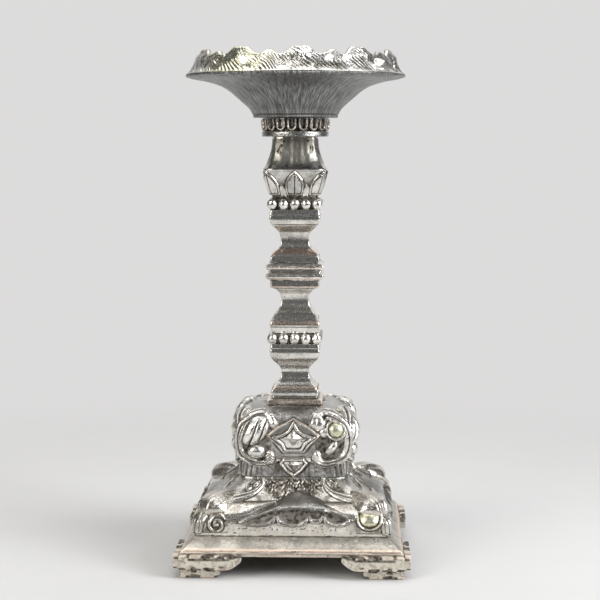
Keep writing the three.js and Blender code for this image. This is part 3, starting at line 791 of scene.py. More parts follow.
def plinth():
    """The moulded square frame that the base stands on."""
    node = "plinth_frame"
    low, high, half = bottom(node), top(node), half_width(node)
    rows = [(0, 0.3), (0.3, 0), (1.9, 0), (2.2, 0.55), (2.9, 0.75), (3.4, 1.3), (4.2, 2.5), (5.4, 4.0),
            (6.8, 5.3), (8.0, 6.2), (high - low, 6.5)]
    surface = Cushion([(z, half - narrower, 0.7) for z, narrower in rows], low)
    z = np.unique(np.concatenate([np.arange(low, high, 0.35), [low + 2.05, low + 2.2, high]]))
    rings = surface.rings(*surface.columns(z, 110, 3))
    rise = rings[..., 2] - low
    chips = smoothstep(0.25, 0.6, noise_at(rings, 2.6)) * smoothstep(2.4, 0.4, abs(rise))
    rings[..., :2] *= 1 - 0.006 * chips[..., None] + 0.0016 * noise_at(rings, 9, DENTS)[..., None]
    grime = chips + 0.7 * bell(rise - 2.12, 0.16) * smoothstep(-0.3, 0.4, noise_at(rings, 6))
    grime += smoothstep(0.9, 0.1, high - rings[..., 2]) * (0.75 + 0.5 * noise_at(rings, 3))
    edge = 1.3 * bell(rise - 2.9, 0.7) + 0.5 * smoothstep(1.5, 0.2, rise)
    inside = square_rings([(high, half - 9.6, 0.7), (high - 2.4, half - 9.6, 0.7),
                           (low + 1.6, half - 2.6, 0.7), (low, half - 2.6, 0.7)], 110, 3)
    put(node, lined_shell(rings, inside, grime, edge, 0.6), PLINTH_PLATE)


put_four({"foot": foot_shell()}, CORNERS, FOOT_PLATE)
plinth()


# Dome

DOME_BASE = bottom("dome_shell")
FRIEZE_TOP = DOME_BASE + 6.9
NECK = bottom("bulb_shell")
DOME = Cushion([(0, 48.1, 1.5), (6.6, 48.1, 1.6), (8.7, 46.8, 2.5), (12.7, 41.8, 5), (17.7, 35.6, 7),
                (22.2, 30.3, 8), (25.7, 27.8, 8)], DOME_BASE)


def dome_draw(s, z):
    """The dome's own surface: a pitted frieze, and a band of punched dots under the neck."""
    rise = z - DOME_BASE
    from_corner = DOME.reach(z) - abs(s)
    band = smoothstep(15.6, 17.6, rise) * smoothstep(25.2, 23.4, rise) * smoothstep(4.5, 8, from_corner)
    dots = smoothstep(-0.12, 0.3, ROUGH(s / 0.62, z / 0.62, 5.1))
    pits = smoothstep(0.66, 0.8, ROUGH(s / 0.9, z / 0.7, 3.1)) * smoothstep(7.2, 5.6, rise)
    streaks = smoothstep(23.8, 25.5, rise) * ROUGH(s / 0.8, z / 9, 1.7)
    lift = band * (0.95 * dots - 0.45) - 0.22 * pits + 0.12 * streaks + 0.12 * ROUGH(s / 6, z / 5, 2.2)
    seam = smoothstep(0.9, 0.15, rise) * (0.8 + 0.5 * ROUGH(s / 3, 0.3, 1.1))
    grime = 1.5 * band * (1 - dots) + 0.8 * pits + seam + 0.35 * smoothstep(0.2, 0.7, streaks)
    return lift, grime, band * dots * 0.3


def hollow_casting(surface, low, high, step, draw, inner_rows, straight_steps, corner_steps):
    """A hollow square casting: its face carries relief, its inside follows plain rows."""
    z = np.concatenate([np.arange(low, high, step), [high]])
    s, z = surface.columns(z, straight_steps, corner_steps)
    reach = surface.reach(z)
    lift, grime, edge = draw(np.where(s > reach, s - 2 * reach, s), z)
    inside = square_rings(inner_rows, straight_steps, corner_steps)
    return lined_shell(surface.rings(s, z, lift), inside, np.tile(grime, 4), np.tile(edge, 4), 0.5)


def dome():
    """The dome in two pieces, the plain frieze at its foot and the slopes above it."""
    inside = [(NECK, 25.2, 5), (NECK - 7, 28, 5), (NECK - 14.5, 36, 4), (FRIEZE_TOP, 43.6, 1.5)]
    slopes = hollow_casting(DOME, FRIEZE_TOP, NECK, 0.45, dome_draw, inside, 150, 18)
    put("dome_shell", slopes, DOME_PLATE)
    inside = [(FRIEZE_TOP, 43.6, 1.5), (DOME_BASE, 45.5, 1.5)]
    frieze = hollow_casting(DOME, DOME_BASE, FRIEZE_TOP, 0.35, dome_draw, inside, 190, 8)
    put("dome_shell", frieze, FRIEZE_PLATE, name="dome_frieze")


# Drapes

# The scallops of a drape's lower edge: from, to, and how far each hangs down, in mm.
LOBES = [(-27.0, -8.0, 2.9), (-8.0, 8.2, 2.9), (8.2, 15.4, 1.3), (15.4, 29.0, 2.8)]
LOBE_TOP = 7.9


def drape_outline():
    """The drape's edge: up over its peak by the neck, and back along its hanging scallops."""
    outline = [*smooth_path([(-29.5, 6.4), (-24, 7.9), (-18, 10.4), (-12, 13.2), (-6, 16.4), (-1, 18.9),
                             (3, 19.6), (8, 18.8), (14, 16.6), (20, 14.0), (26, 11.2), (31, 8.0)], 4)]
    for start, end, drop in reversed(LOBES):
        middle, reach = (start + end) / 2, (end - start) / 2
        for angle in np.linspace(0, math.pi, 9)[:-1]:
            outline.append((middle + reach * math.cos(angle), LOBE_TOP - drop * math.sin(angle) ** 0.8))
    return outline


def drape_draw(s, z):
    """A cloth-like fan: a smooth slope down to a soft fold, and scooped scallops that hang from it."""
    rise = z - DOME_BASE
    depth = inset(drape_outline(), s, rise)
    fold = 11.0 - 0.0038 * (s - 3) ** 2
    body = 2.5 * (1 - np.exp(-np.maximum(depth, 0) / 1.9))
    body += 1.1 * bell(rise - fold - 0.6, 3.2) * smoothstep(0, 4, depth)
    below = smoothstep(fold + 0.2, fold - 0.7, rise)
    scoop = highest(*(1 - ((2 * s - start - end) / (end - start)) ** 2 for start, end, _ in LOBES), 0)
    cusps = highest(*(bell(s - start, 0.8) for start, _, _ in LOBES))
    rim = rounded(abs(depth - 0.7), 1.6, 0.9)
    hung = 2.0 + 0.6 * np.sqrt(scoop) - 1.7 * smoothstep(0.9, 2.2, depth) * scoop
    lift = body * (1 - below) + below * np.maximum(hung * smoothstep(-0.3, 0.7, depth), 1.5 + rim)
    # Painted shade: darkened inside the hanging scallops, at the cusps between them and in a line under the
    # fold.
    grime = below * smoothstep(0.8, 1.8, depth) * (0.75 + 0.55 * ROUGH(s / 2.4, z / 1.8, 6.6))
    grime += 0.7 * below * cusps + 0.9 * bell(rise - fold + 0.25, 0.35) * smoothstep(1, 3, depth)
    # Painted shade round the drape's edge and over the middle of the slope above the fold.
    grime += 0.5 * bell(depth, 0.4) + 0.4 * bell(s + 2, 11) * smoothstep(fold, fold + 2, rise)
    return np.where(depth > -0.4, lift, -1.5), grime, 0.15 * below * smoothstep(0.2, 0.5, rim)


def drapes():
    """A drape on each side of the dome."""
    shell = relief(DOME, (-30.5, 30.5), (DOME_BASE + 4, DOME_BASE + 21), 0.34, drape_draw)
    put_four({"drape_fan": shell}, SIDES, DARK_PLATE)


# Volutes

# The middles of the coil and of the yellow boss: from the middle of the face, and above the dome's foot.
VOLUTE = (37.2, 5.6)
VOLUTE_BOSS = (38.3, 9.2)


def volute_draw(x, z, other):
    """Two broad ribs that sweep from the neck to the corner. On one face the lower one coils up, and on the
    other it meets an oval setting."""
    rise = z - DOME_BASE
    upper_path = smooth_path([(15.4, 24.8), (15.8, 21.8), (19.6, 18.8), (25, 17.2), (31, 16.0), (37, 14.6),
                              (42.4, 11.8), (45.4, 7.4), (46.2, 2.4)], 7)
    lower_path = smooth_path([(8.5, 14.8), (14, 13.7), (20, 12.7), (26, 11.7), (31.5, 10.9), (35.5, 10.2)], 7)
    upper, past_upper = rib_along(upper_path, [1.8, 3.0, 4.4, 5.0, 3.6], 1.4, x, rise)
    lower, past_lower = rib_along(lower_path, [1.0, 3.0, 5.4, 6.8, 6.0], 1.8, x, rise)
    coil_path = spiral(VOLUTE, 4.4, 1.3, -1.3, QUARTER)
    coil, past_coil = rib_along(coil_path, [2.4, 1.9, 1.6], 1.5, x, rise)
    seam, _ = path_distance(upper_path[6:], x, rise)
    ribs = highest(upper - 0.45 * bell(seam, 0.32), lower)
    from_coil = np.hypot(x - VOLUTE[0], rise - VOLUTE[1])
    eye = boss(x, rise, VOLUTE, (1.3, 1.3), 1.8)
    coil_face = np.where(from_coil < 4.3, highest(coil, eye, 0.3), highest(ribs, coil))
    from_oval = (np.hypot((x - VOLUTE_BOSS[0]) / 6.0, (rise - VOLUTE_BOSS[1]) / 5.3) - 1) * 5.6
    setting = rounded(abs(from_oval), 1.5, 1.9)
    oval_face = np.where(from_oval < 0, highest(setting, 0.5), highest(ribs, setting))
    figure = np.where(other, oval_face, coil_face)
    ground = inset([(13.4, 25), (13.8, 20.6), (8, 17.2), (7, 14.6), (11, 12.4), (18, 10.0), (24, 7.4),
                    (30, 6.4), (31.6, 1.2), (46.6, 1.2), (46.6, 9), (43.5, 13.6), (38, 16.6), (30, 18.4),
                    (21, 20.6), (17, 25)], x, rise)
    plate = 0.6 * smoothstep(-0.4, 1.2, ground) - 0.2
    lift = np.where((figure > 0) | (plate > 0), highest(figure, plate), -1.5)
    # Painted shadow along the foot of each rib, round the coil and the setting, and along the seam.
    rib_creases = bell(past_upper, 0.3) + bell(past_lower, 0.3)
    coil_creases = np.where(other, bell(abs(from_oval) - 0.9, 0.3), bell(past_coil, 0.35))
    stains = smoothstep(0.05, 0.55, ROUGH(x / 2.8, rise / 1.9, 3.9)) * smoothstep(1.6, 0.4, figure)
    grime = 0.75 * highest(rib_creases, coil_creases * (lift < 1.3)) + 0.5 * stains + 0.35 * bell(seam, 0.3)
    return lift, grime, 0.25 * smoothstep(1.2, 1.8, lift)


def tongue():
    """The leaf that runs out along the front left diagonal from the neck and rolls over near the corner."""
    path = smooth_path([(34, 20.6), (40, 19.2), (46, 20.4), (52, 20.4), (58, 19.2), (62.4, 16.4), (64, 12),
                        (63.6, 7.4)], 9)
    share = np.linspace(0, 1, len(path))[:, None]
    across = np.linspace(-1, 1, 61)[None, :]
    width = monotone(share, [0, 0.3, 0.6, 0.8, 1], [5.6, 7.6, 9.4, 9.0, 6.0])
    tangent = np.gradient(path, axis=0)
    tangent /= np.linalg.norm(tangent, axis=1)[:, None]
    normal = np.stack([-tangent[:, 1], tangent[:, 0]], axis=1)
    normal *= np.sign(normal.sum(axis=1))[:, None]
    ridges = 0.3 * np.cos(5 * math.pi * across) * (1 - across ** 2)
    drop = ridges - 6.5 * abs(across) ** 2.6 - 0.7 * bell(across, 0.12)
    drop = drop + 0.25 * ROUGH(share * 9, across * 4, 1.3)
    out = path[:, :1] + normal[:, :1] * drop
    up = path[:, 1:] + normal[:, 1:] * drop + DOME_BASE
    side = width * across

    def placed(out, up, side):
        return np.stack([(side - out) / math.sqrt(2), (-side - out) / math.sqrt(2), up], axis=-1)

    grime = smoothstep(0.1, -0.3, ridges) * (0.1 + 0.4 * ROUGH(share * 12, across * 3, 5.0))
    grime = grime + 0.3 * bell(across, 0.08)
    kept = np.ones((len(path) - 1, across.size - 1), bool)
    shell = patch_shell(placed(out, up, side), placed(out - 3.5, up - 3.5, 0.8 * side), kept, grime,
                        np.full(grime.shape, 0.2))
    return shell._replace(quads=shell.quads[:, ::-1])


def gilt_bosses(family, surface, middle, radii, height):
    """Four oval bosses with a yellow tinge, one at the right end of each side."""
    def draw(s, z):
        lift = boss(s, z, middle, radii, height) + 0.15 * ROUGH(s / 2.2, z / 2.2, 3.3)
        return lift, smoothstep(0.25, 0.05, lift / height), np.zeros(s.shape)

    s_range, z_range = ((at - radius - 0.4, at + radius + 0.4) for at, radius in zip(middle, radii))
    shell = relief(surface, s_range, z_range, 0.28, draw, 3)
    for quarter, corner in enumerate(CORNERS):
        put(f"corner_{family}_{corner}", turned_by(shell, quarter), GILT, name=f"{family}_boss_{corner}")


def volutes():
    """A volute with its tongue on each corner of the dome."""
    ribs = corner_relief(DOME, 33, (DOME_BASE + 0.2, DOME_BASE + 25.2), 0.34, volute_draw)
    shell = joined([ribs, tongue()])
    gilt_bosses("volute", DOME, (VOLUTE_BOSS[0], DOME_BASE + VOLUTE_BOSS[1]), (5.1, 4.4), 2.3)
    put_four({"corner_volute": shell}, CORNERS, SCROLL_PLATE)


# Pedestal bulb

BULB = Cushion([(0, 27.8, 8), (7, 27.5, 8), (10, 28.1, 8), (14, 29.2, 8.6), (19, 29.9, 9), (24, 29.6, 9),
                (28.5, 28.2, 9), (31.2, 26.0, 9), (33, 22.8, 8.5), (34, 19.2, 8), (34.4, 16, 7)], NECK)

# Outlines on the middle of a face: from its middle, and above the neck.
STAR_PLATE = [(-14, 21.6), (-9, 25.6), (-2.6, 28.6), (0, 30), (2.6, 28.6), (9, 25.6), (14, 21.6),
              (8.5, 16.6), (5.6, 12.8), (-5.6, 12.8), (-8.5, 16.6)]
STAR = [(-11.6, 20.8), (-5.6, 22.4), (-2.6, 24.4), (0, 28.6), (2.6, 24.4), (5.6, 22.4), (11.6, 20.8),
        (6.2, 17.2), (4.4, 13.8), (-4.4, 13.8), (-6.2, 17.2)]
SHIELD = [(-5.2, 10.0), (5.2, 10.0), (7.4, 7.0), (4.2, 3.0), (0, -0.1), (-4.2, 3.0), (-7.4, 7.0)]
SCROLL_BOSS = (21.4, 24.4)


def bulb_draw(s, z):
    """The bulb's own surface: upright lines at its foot, ribs by the corners, and painted shade round the
    figures.
    """
    rise = z - NECK
    from_corner = BULB.reach(z) - abs(s)
    ribs = sum(bell(from_corner - at - 0.12 * rise, 0.75) for at in (0.3, 3.0, 5.6))
    ribs = ribs * smoothstep(10, 6.5, rise)
    streaks = ROUGH(s / 0.75, z / 8, 7.7) * smoothstep(10, 5, rise)
    hollow = smoothstep(2.4, 0, abs(rise - 8.4)) * 0.35
    lift = 0.14 * streaks + 0.16 * ROUGH(s / 7, z / 7, 1.1) - hollow + 0.6 * ribs
    patches = smoothstep(0.0, 0.5, ROUGH(s / 4, z / 5, 3.3)) * smoothstep(10, 7, rise)
    grime = 0.5 * smoothstep(0.15, 0.6, streaks) + 0.55 * patches + smoothstep(0.5, 0, rise) * 0.7
    # Painted shade: the bulb is darkened in a band round the star's plate and round the shield.
    for outline in (STAR_PLATE, SHIELD):
        outline_shade = smoothstep(1.5, 0.5, -inset(outline, s, rise))
        grime += 0.95 * outline_shade * (0.7 + 0.5 * ROUGH(s / 2, z / 2, 4.2))
    grime += 0.4 * smoothstep(9, 6, rise) * smoothstep(7.5, 6, from_corner) * smoothstep(0.5, 0.1, ribs)
    return lift, grime, np.zeros(s.shape)


def bulb():
    """The hollow cushion between the dome and the stem."""
    high = top("bulb_shell")
    inner_rows = [(high, 2.9, 1.4), (high - 4, 2.9, 1.4), (high - 4.2, 22, 6), (NECK + 24, 27.2, 6),
                  (NECK + 18, 27.2, 6), (NECK + 8, 24.8, 5.5), (NECK, 25.2, 5.5)]
    shell = hollow_casting(BULB, NECK, high, 0.4, bulb_draw, inner_rows, 90, 24)
    put("bulb_shell", shell, DARK_PLATE)


def scroll_draw(x, z, other):
    """A C-scroll: its spine stands by the corner, and its two thick ends turn in on the face. On one face it
    holds a fluted shell over a bead and a netted end, on the other a boss in a setting between fat buds."""
    rise = z - NECK
    upper = smooth_path([(28.6, 18), (28.2, 22), (25.8, 26.8), (21, 30.0), (16, 31.2), (11.6, 30.2),
                         (10.2, 27.6)], 8)
    lower = smooth_path([(28.6, 18), (27.8, 14), (25.4, 10.4), (21, 8.0), (16, 6.8), (12.2, 8.4),
                         (11.8, 11.6)], 8)
    up, up_along = path_distance(upper, x, rise)
    down, down_along = path_distance(lower, x, rise)
    distance = np.minimum(up, down)
    along = np.where(up < down, up_along, down_along)
    width = monotone(along, [0, 0.45, 0.75, 1], [5.6, 4.4, 4.6, 5.4])
    band = rounded(distance, width, 2.9)
    groove = bell(distance - 0.22 * width, 0.3) * smoothstep(0.95, 0.7, along) * (band > 0)
    bed = smoothstep(0.6, -0.6, np.hypot((x - 18.5) / 8.2, (rise - 19) / 10.5) * 6 - 6)
    # Painted shade: the bed inside the C is darkened beside the band and round the figures.
    dark = bed * smoothstep(0.8, 0.1, band) * (0.75 + 0.5 * ROUGH(x / 1.6, z / 1.6, 8.1))
    dark = dark * np.where(other, smoothstep(25, 19, rise), 0.7)
    lean = x + 0.4 * (rise - 24)
    shell = boss(lean, rise, (19.4, 24.0), (7.0, 7.6), 3.8)
    flutes = bell(np.sin(np.pi * (lean - 19.4) / 4.1), 0.36) * smoothstep(29.5, 27, rise) * (shell > 0)
    shell_face = highest(shell - 1.1 * flutes, boss(x, rise, (18.6, 13.4), (4.6, 3.6), 3.5))
    setting = rounded(abs(np.hypot(x - SCROLL_BOSS[0], rise - SCROLL_BOSS[1]) - 4.6), 1.5, 1.8)
    leaf = boss(x - 0.5 * (rise - 15.4), rise, (19.2, 15.4), (2.7, 3.6), 2.6)
    fat_end = boss(x, rise, (12.8, 28.4), (4.0, 4.6), 3.1)
    bud = boss(x, rise, (15.4, 23.4), (2.4, 3.0), 1.8)
    figure = np.where(other, highest(setting, leaf, fat_end, bud), shell_face)
    pit = bell(np.hypot(x - 15.6, rise - 29.6), 0.9) * other
    net = smoothstep(1.1, 0.8, np.hypot((x - 13.6) / 5.0, (rise - 9.4) / 4.2)) * ~other
    threads = 0.5 * np.cos(TAU * x / 1.7) * np.cos(TAU * rise / 1.5) * net
    lift = highest(band - 0.8 * groove, 0.45 * bed - 0.3, figure) + threads - 1.4 * pit
    # Painted shade in the groove, the bed, the gaps between the flutes and the hollows of the net.
    grime = highest(groove, dark * smoothstep(1.3, 0.3, figure)) + pit + 0.6 * flutes * ~other
    grime = grime + smoothstep(0.05, -0.15, threads) * (net > 0.5)
    return lift, grime, 0.08 * smoothstep(1.5, 2.2, band)


def scrolls():
    """A C-scroll on each corner of the bulb."""
    gilt_bosses("scroll", BULB, (SCROLL_BOSS[0], NECK + SCROLL_BOSS[1]), (3.8, 3.9), 2.4)
    shell = corner_relief(BULB, 21, (NECK + 3.5, NECK + 33.2), 0.27, scroll_draw)
    put_four({"corner_scroll": shell}, CORNERS, BRIGHT)


def facets(depth, rim, rise, slope, hollow):
    """A raised rim inside an outline, a gutter inside it, and flat facets that rise towards the middle."""
    border = rim * smoothstep(-0.2, 0.35, depth) * smoothstep(1.7, 1.0, depth)
    roof = np.clip((depth - 1.6) * slope, 0, rise) + hollow
    return highest(border, np.where(depth > 1.5, roof, 0))


def star_draw(s, z):
    """A lens-shaped plate with a four-pointed star on it, faceted to a point."""
    rise = z - NECK
    outer = inset(STAR_PLATE, s, rise)
    inner = inset(STAR, s, rise)
    pyramid = 4.0 - abs(s) * 0.62 - abs(rise - 20.6) * 0.66
    plate = 0.9 * smoothstep(0, 0.5, outer) + 0.35 * smoothstep(1.4, 0.5, outer)
    lift = np.where(outer > 0, plate, outer)
    lift = np.where(inner > 0, highest(1.3 + facets(inner, 0.9, 0.4, 0.3, -0.5), pyramid), lift)
    # Painted shade: the gutters round the star and the plate round it are darkened.
    gutter = bell(inner + 0.15, 0.3) + 0.8 * bell(inner - 1.7, 0.4)
    grime = gutter * (0.8 + 0.5 * ROUGH(s / 1.2, z / 1.2, 2.6)) * (outer > 0)
    grime += 0.45 * smoothstep(0.9, 1.6, outer) * (inner < 0)
    return lift, grime, 0.8 * smoothstep(1.3, 0.6, outer) * (inner < -0.2) * smoothstep(18, 22, rise)


def lozenge_draw(s, z):
    """A shield-shaped drop with a rim and a pyramid that points down."""
    rise = z - NECK
    depth = inset(SHIELD, s, rise)
    pyramid = 3.4 - abs(s) * 0.85 - abs(rise - 6.6) * 0.62
    lift = np.where(depth > 0, 0.8 + facets(depth, 1.0, 0.2, 0.2, -0.6), depth)
    lift = np.where(depth > 1.2, highest(lift, pyramid), lift)
    # Painted shade: the gutter inside the rim is darkened.
    grime = bell(depth - 1.5, 0.42) * (0.9 + 0.5 * ROUGH(s / 1.1, z / 1.1, 9.2))
    return lift, grime, 0.6 * smoothstep(0.1, 0.5, depth) * smoothstep(1.2, 0.8, depth)


def face_figures():
    """The star and the drop under it on each side of the bulb."""
    star = relief(BULB, (-14.6, 14.6), (NECK + 12, NECK + 30.6), 0.24, star_draw)
    drop = relief(BULB, (-8, 8), (NECK + 0.05, NECK + 10.6), 0.24, lozenge_draw)
    put_four({"star_rosette": star, "lozenge_drop": drop}, SIDES, BRIGHT)


# Knop

KNOP_BASE = bottom("vase_knop")
KNOP = Cushion([(0, 11.5, 3.6), (1.6, 11.8, 3.8), (4.6, 13.1, 4.2), (8.5, 14.3, 4.6), (12.7, 15.5, 5),
                (14.5, 15.95, 5.4), (15.1, 15.9, 5.6), (16.3, 15.1, 6.2), (19, 13.8, 7), (22, 12.8, 7),
                (25.4, 11.95, 6.6), (29, 11.5, 6), (31.3, 11.4, 5.6)], KNOP_BASE)
LEAF_FOOT = 0.9


def leaf_outline(tall, wide):
    """A pointed upright leaf round the middle of its foot."""
    shares = [(0, 1), (0.5, 0.84), (0.86, 0.66), (1, 0.46), (0.9, 0.2), (0.78, 0.06)]
    right = [(wide * x, tall * y) for x, y in shares]
    return right + [(-x, y) for x, y in reversed(right[1:])]


def knop_draw(s, z):
    """Eight upright leaves round the lower half, small ones between them, and shallow flutes above."""
    rise = z - KNOP_BASE
    reach = KNOP.reach(z)
    x = np.minimum(abs(s), reach - abs(s))
    main = inset(leaf_outline(13.4, 4.9), x, rise - LEAF_FOOT)
    between = inset(leaf_outline(6.8, 1.7), x - reach / 2, rise - LEAF_FOOT)
    body = 0.55 * smoothstep(-0.1, 0.5, main) + 0.5 * np.sqrt(np.clip(main, 0, 4.5) / 4.5)
    rim = 0.35 * bell(main - 0.4, 0.28) - 0.3 * bell(main - 1.05, 0.25)
    midrib = (0.2 * bell(x - 0.75, 0.4) - 0.42 * bell(x, 0.3)) * (main > 1)
    small = 0.3 * smoothstep(-0.1, 0.35, between) * (main < 0)
    upper = smoothstep(15.4, 18.5, rise)
    flutes = upper * 0.12 * np.cos(4 * math.pi * abs(s) / reach)
    lift = np.where(main > -0.1, body + rim + midrib, small)
    lift = lift + flutes + 0.3 * bell(rise - 14.8, 0.3) + 0.1 * ROUGH(s / 4, z / 4, 5.5)
    torn = smoothstep(30.0 + 0.8 * ROUGH(s / 2.2, 1.0, 2.0), 30.9, rise)
    grime = (main < 0) * (between < 0) * smoothstep(14, 4, rise) * 0.75 + smoothstep(1.3, 0.3, rise)
    grime += 0.6 * bell(main - 1.05, 0.3) + 0.8 * bell(x, 0.3) * (main > 1)
    clouds = 0.42 + 0.4 * smoothstep(0.1, 0.6, ROUGH(s / 2.2, z / 5, 1.9))
    grime += clouds * upper + 0.2 * smoothstep(24, 29, rise)
    return lift, grime * (1 - torn), 0.5 * torn


def knop():
    """The square vase at the top of the stem."""
    high = top("vase_knop")
    ends = [(high, 2.6, 1.3), (KNOP_BASE, 2.6, 1.3)]
    put("vase_knop", hollow_casting(KNOP, KNOP_BASE, high, 0.28, knop_draw, ends, 72, 26), KNOP_PLATE)


# Round pieces: radii and heights in mm

TONGUES = 18
FLANGE_TOP = 2.8
FLANGE = 17.15
DRUM = 15.1
TONGUE_FACE = 15.9
PAN_COLUMNS = 288
PAN_FLOOR = 2.6
CROWN_COLUMNS = 1300
CROWN_ROWS = 44
CROWN_LOBES = 10
CROWN_TURN = math.radians(5.0)
CROWN_RADIUS = 52


def gallery():
    """The ring under the pan: a flange, and tongues with raised U-shaped rims hanging over a dark drum."""
    low, high = bottom("gallery_ring"), top("gallery_ring")
    columns = TONGUES * 26
    angle = np.linspace(0, TAU, columns, endpoint=False)[None, :]
    z = np.concatenate([[0, 0.25], np.linspace(0.3, 2.3, 6), [2.6, 2.75], np.linspace(2.9, high - low, 40)])
    rise = z[:, None]
    flange = FLANGE - 0.35 * smoothstep(0.3, 0, rise) - 0.4 * smoothstep(2.3, 2.75, rise)
    turn = (angle + math.radians(94.5)) * TONGUES / TAU
    beside = (turn - np.round(turn)) * (TAU / TONGUES) * 17.2
    foot = np.hypot(beside, np.minimum(rise - 5.5, 0))
    rim = rounded(abs(foot - 1.95), 1.25, 1.3)
    face = TONGUE_FACE + 0.12 * (rise - 3)
    tongues = highest(np.where(foot < 1.95, face, DRUM), face + rim, DRUM)
    radius = np.where(rise < FLANGE_TOP, flange, np.where(rim > -0.8, tongues, DRUM))
    radius = np.where(rise > high - low - 0.5, np.minimum(radius, 16.9), radius)
    gaps = (foot > 2.5) * (rise > FLANGE_TOP)
    grime = gaps + 0.5 * (foot < 1.4) * (rise > 3) + smoothstep(0.35, 0.05, rise)
    grime = grime * (0.85 + 0.4 * ROUGH(angle * 12, rise, 2.0))
    lining = turned([high, low], [BORE, BORE], columns)
    shell = lined_shell(turned(low + z, radius, columns), lining, grime, 0.5 * (rim > 0.7))
    put("gallery_ring", shell, DARK_PLATE)


def pan():
    """The drip pan: a trumpet-shaped underside, a thin lip, and a bowl round a flat floor."""
    low, high, rim = bottom("drip_pan"), top("drip_pan"), half_width("drip_pan")
    across = np.linspace(21.8, rim - 0.4, 56)
    under = monotone(across, [21.7, 22.1, 23.3, 26.4, 29.9, 33.4, 38.5, 46.0, 52.8, rim - 0.4],
                     [1.5, 1.9, 4.1, 7.1, 10.1, 13.1, 16.1, 18.4, 19.6, 20.4])
    bowl = np.linspace(rim - 1.2, 20.4, 40)
    inside = monotone(bowl, [20.4, 26, 31, 38, 45, rim - 4, rim - 1.2], [3.2, 10, 14.2, 18, 20.4, 21.5, 21.7])
    r = np.concatenate([[BORE, 20, 21.4, 21.7, 21.7, 21.7, 21.75], across,
                        [rim - 0.05, rim, rim - 0.1, rim - 0.5], bowl, [19.6, 12, BORE]])
    z = np.concatenate([[0, 0, 0, 0.3, 0.8, 1.35, 1.5], under, [20.6, 21.1, 21.5, high - low], inside,
                        [PAN_FLOOR] * 3])
    rings = turned(low + z, r, PAN_COLUMNS)
    angle = np.linspace(0, TAU, PAN_COLUMNS, endpoint=False)
    r = r[:, None]
    wave = 1 + 0.0016 * ROUGH(np.cos(angle) * 9, np.sin(angle) * 9, r / 8) * (r > 22)
    rings[..., :2] *= wave[..., None].clip(0.99, 1.0)
    grime = bell(z[:, None] - 1.5, 0.25) * (r < 22.4)
    put("drip_pan", ring_shell(rings, grime), PAN_PLATE, "pan")


def crown():
    """The leafy wall on the pan's edge: oblique veins and lumps outside, a plain face inside, and a torn top
    edge with a tall lobe and a low one in turn."""
    low, tall = bottom("pan_crown"), top("pan_crown") - bottom("pan_crown")
    angle = np.linspace(0, TAU, CROWN_COLUMNS, endpoint=False)[None, :]
    turn = (angle + QUARTER - CROWN_TURN) * CROWN_LOBES / TAU
    from_lobe = turn - np.round(turn)
    beside = from_lobe * (TAU / CROWN_LOBES) * CROWN_RADIUS

    def around(cells, height):
        return ROUGH(np.cos(angle) * cells, np.sin(angle) * cells, height)

    lobes = 3.25 * smoothstep(0.29, 0.1, abs(from_lobe)) + 1.7 * smoothstep(0.36, 0.47, abs(from_lobe))
    height = np.minimum(tall - 3.6 + lobes + 0.35 * around(22, 0.4), tall - 0.02)
    share = np.linspace(0, 1, CROWN_ROWS)[:, None]
    z = share * height
    radius = monotone(z, [0, 0.8, 3.0, 8.0, 12.4], [55.9, 54.8, 53.0, 50.8, 48.6])
    warp = 0.9 * around(9, z / 5)
    slant = (beside * 0.66 + z * 0.75) / 1.45 + 0.7 * warp
    veins = np.cos(TAU * slant) * smoothstep(-0.7, 0.5, around(11, z / 3 + 7))
    veins = veins * (0.3 + 0.7 * smoothstep(0.8, 0.35, share + 0.15 * warp))
    lumps = around(14, z / 2.8 + 3)
    swell = 0.6 * smoothstep(9, 2, abs(beside)) * smoothstep(2, 8, z)
    lift = 0.38 * veins + 0.45 * lumps + swell
    lift = lift * smoothstep(0, 1.2, z) - 0.5 * smoothstep(0.94, 1.0, share)
    outer = turned(low + z, np.minimum(radius + lift, 55.95), CROWN_COLUMNS)
    grime = smoothstep(-0.35, -0.8, 0.6 * veins + 0.7 * lumps) * 0.6 + smoothstep(0.6, 0, z) * 0.5
    inner_z = np.linspace(1, 0, CROWN_ROWS // 2)[:, None] * height
    inner_radius = monotone(inner_z, [0, 1.0, 3.0, 8.0, 12.4], [53.0, 52.2, 51.0, 49.0, 46.9])
    inner = turned(low + inner_z, inner_radius, CROWN_COLUMNS)
    put("pan_crown", lined_shell(outer, inner, grime, 0.15 * (share > 0.9), 0.2), CROWN_PLATE, body="pan")


for make in (dome, drapes, volutes, bulb, scrolls, face_figures, knop, gallery, pan, crown):
    make()


# Studio and camera

OBJECT_YAW = math.radians(2.0)
CAMERA_DISTANCE = 0.82
CAMERA_HEIGHT = 0.215
CAMERA_SIDE = 0.0023
CAMERA_PITCH = math.radians(5.77)
LENS_MM = 95.5
TURN = Matrix.Rotation(OBJECT_YAW, 3, "Z")


def paper(name, fade=None):
    """Pale paper. With a fade, it turns clear between the two radii, and it is clear from below."""
    n = Nodes(name)
    colour = n.mix(n.between(n.noise(25, 3), 0.3, 0.7), (0.76, 0.755, 0.75), (0.75, 0.745, 0.74))
    inputs = {"Base Color": colour, "Roughness": 0.9}
    if fade:
        shown = n.between(n.from_axis()[2], *fade, 1.0, 0.0)
        inputs["Alpha"] = n.blend(n.add("NewGeometry", {}, "Backfacing"), shown, 0.0)
    return n.finished(inputs)


def stage_mesh(name, points, quads, material):
    """A mesh of the surroundings."""
    made = new_object(name, points, quads)
    made.data.shade_smooth()
    made.data.materials.append(material)
    return made


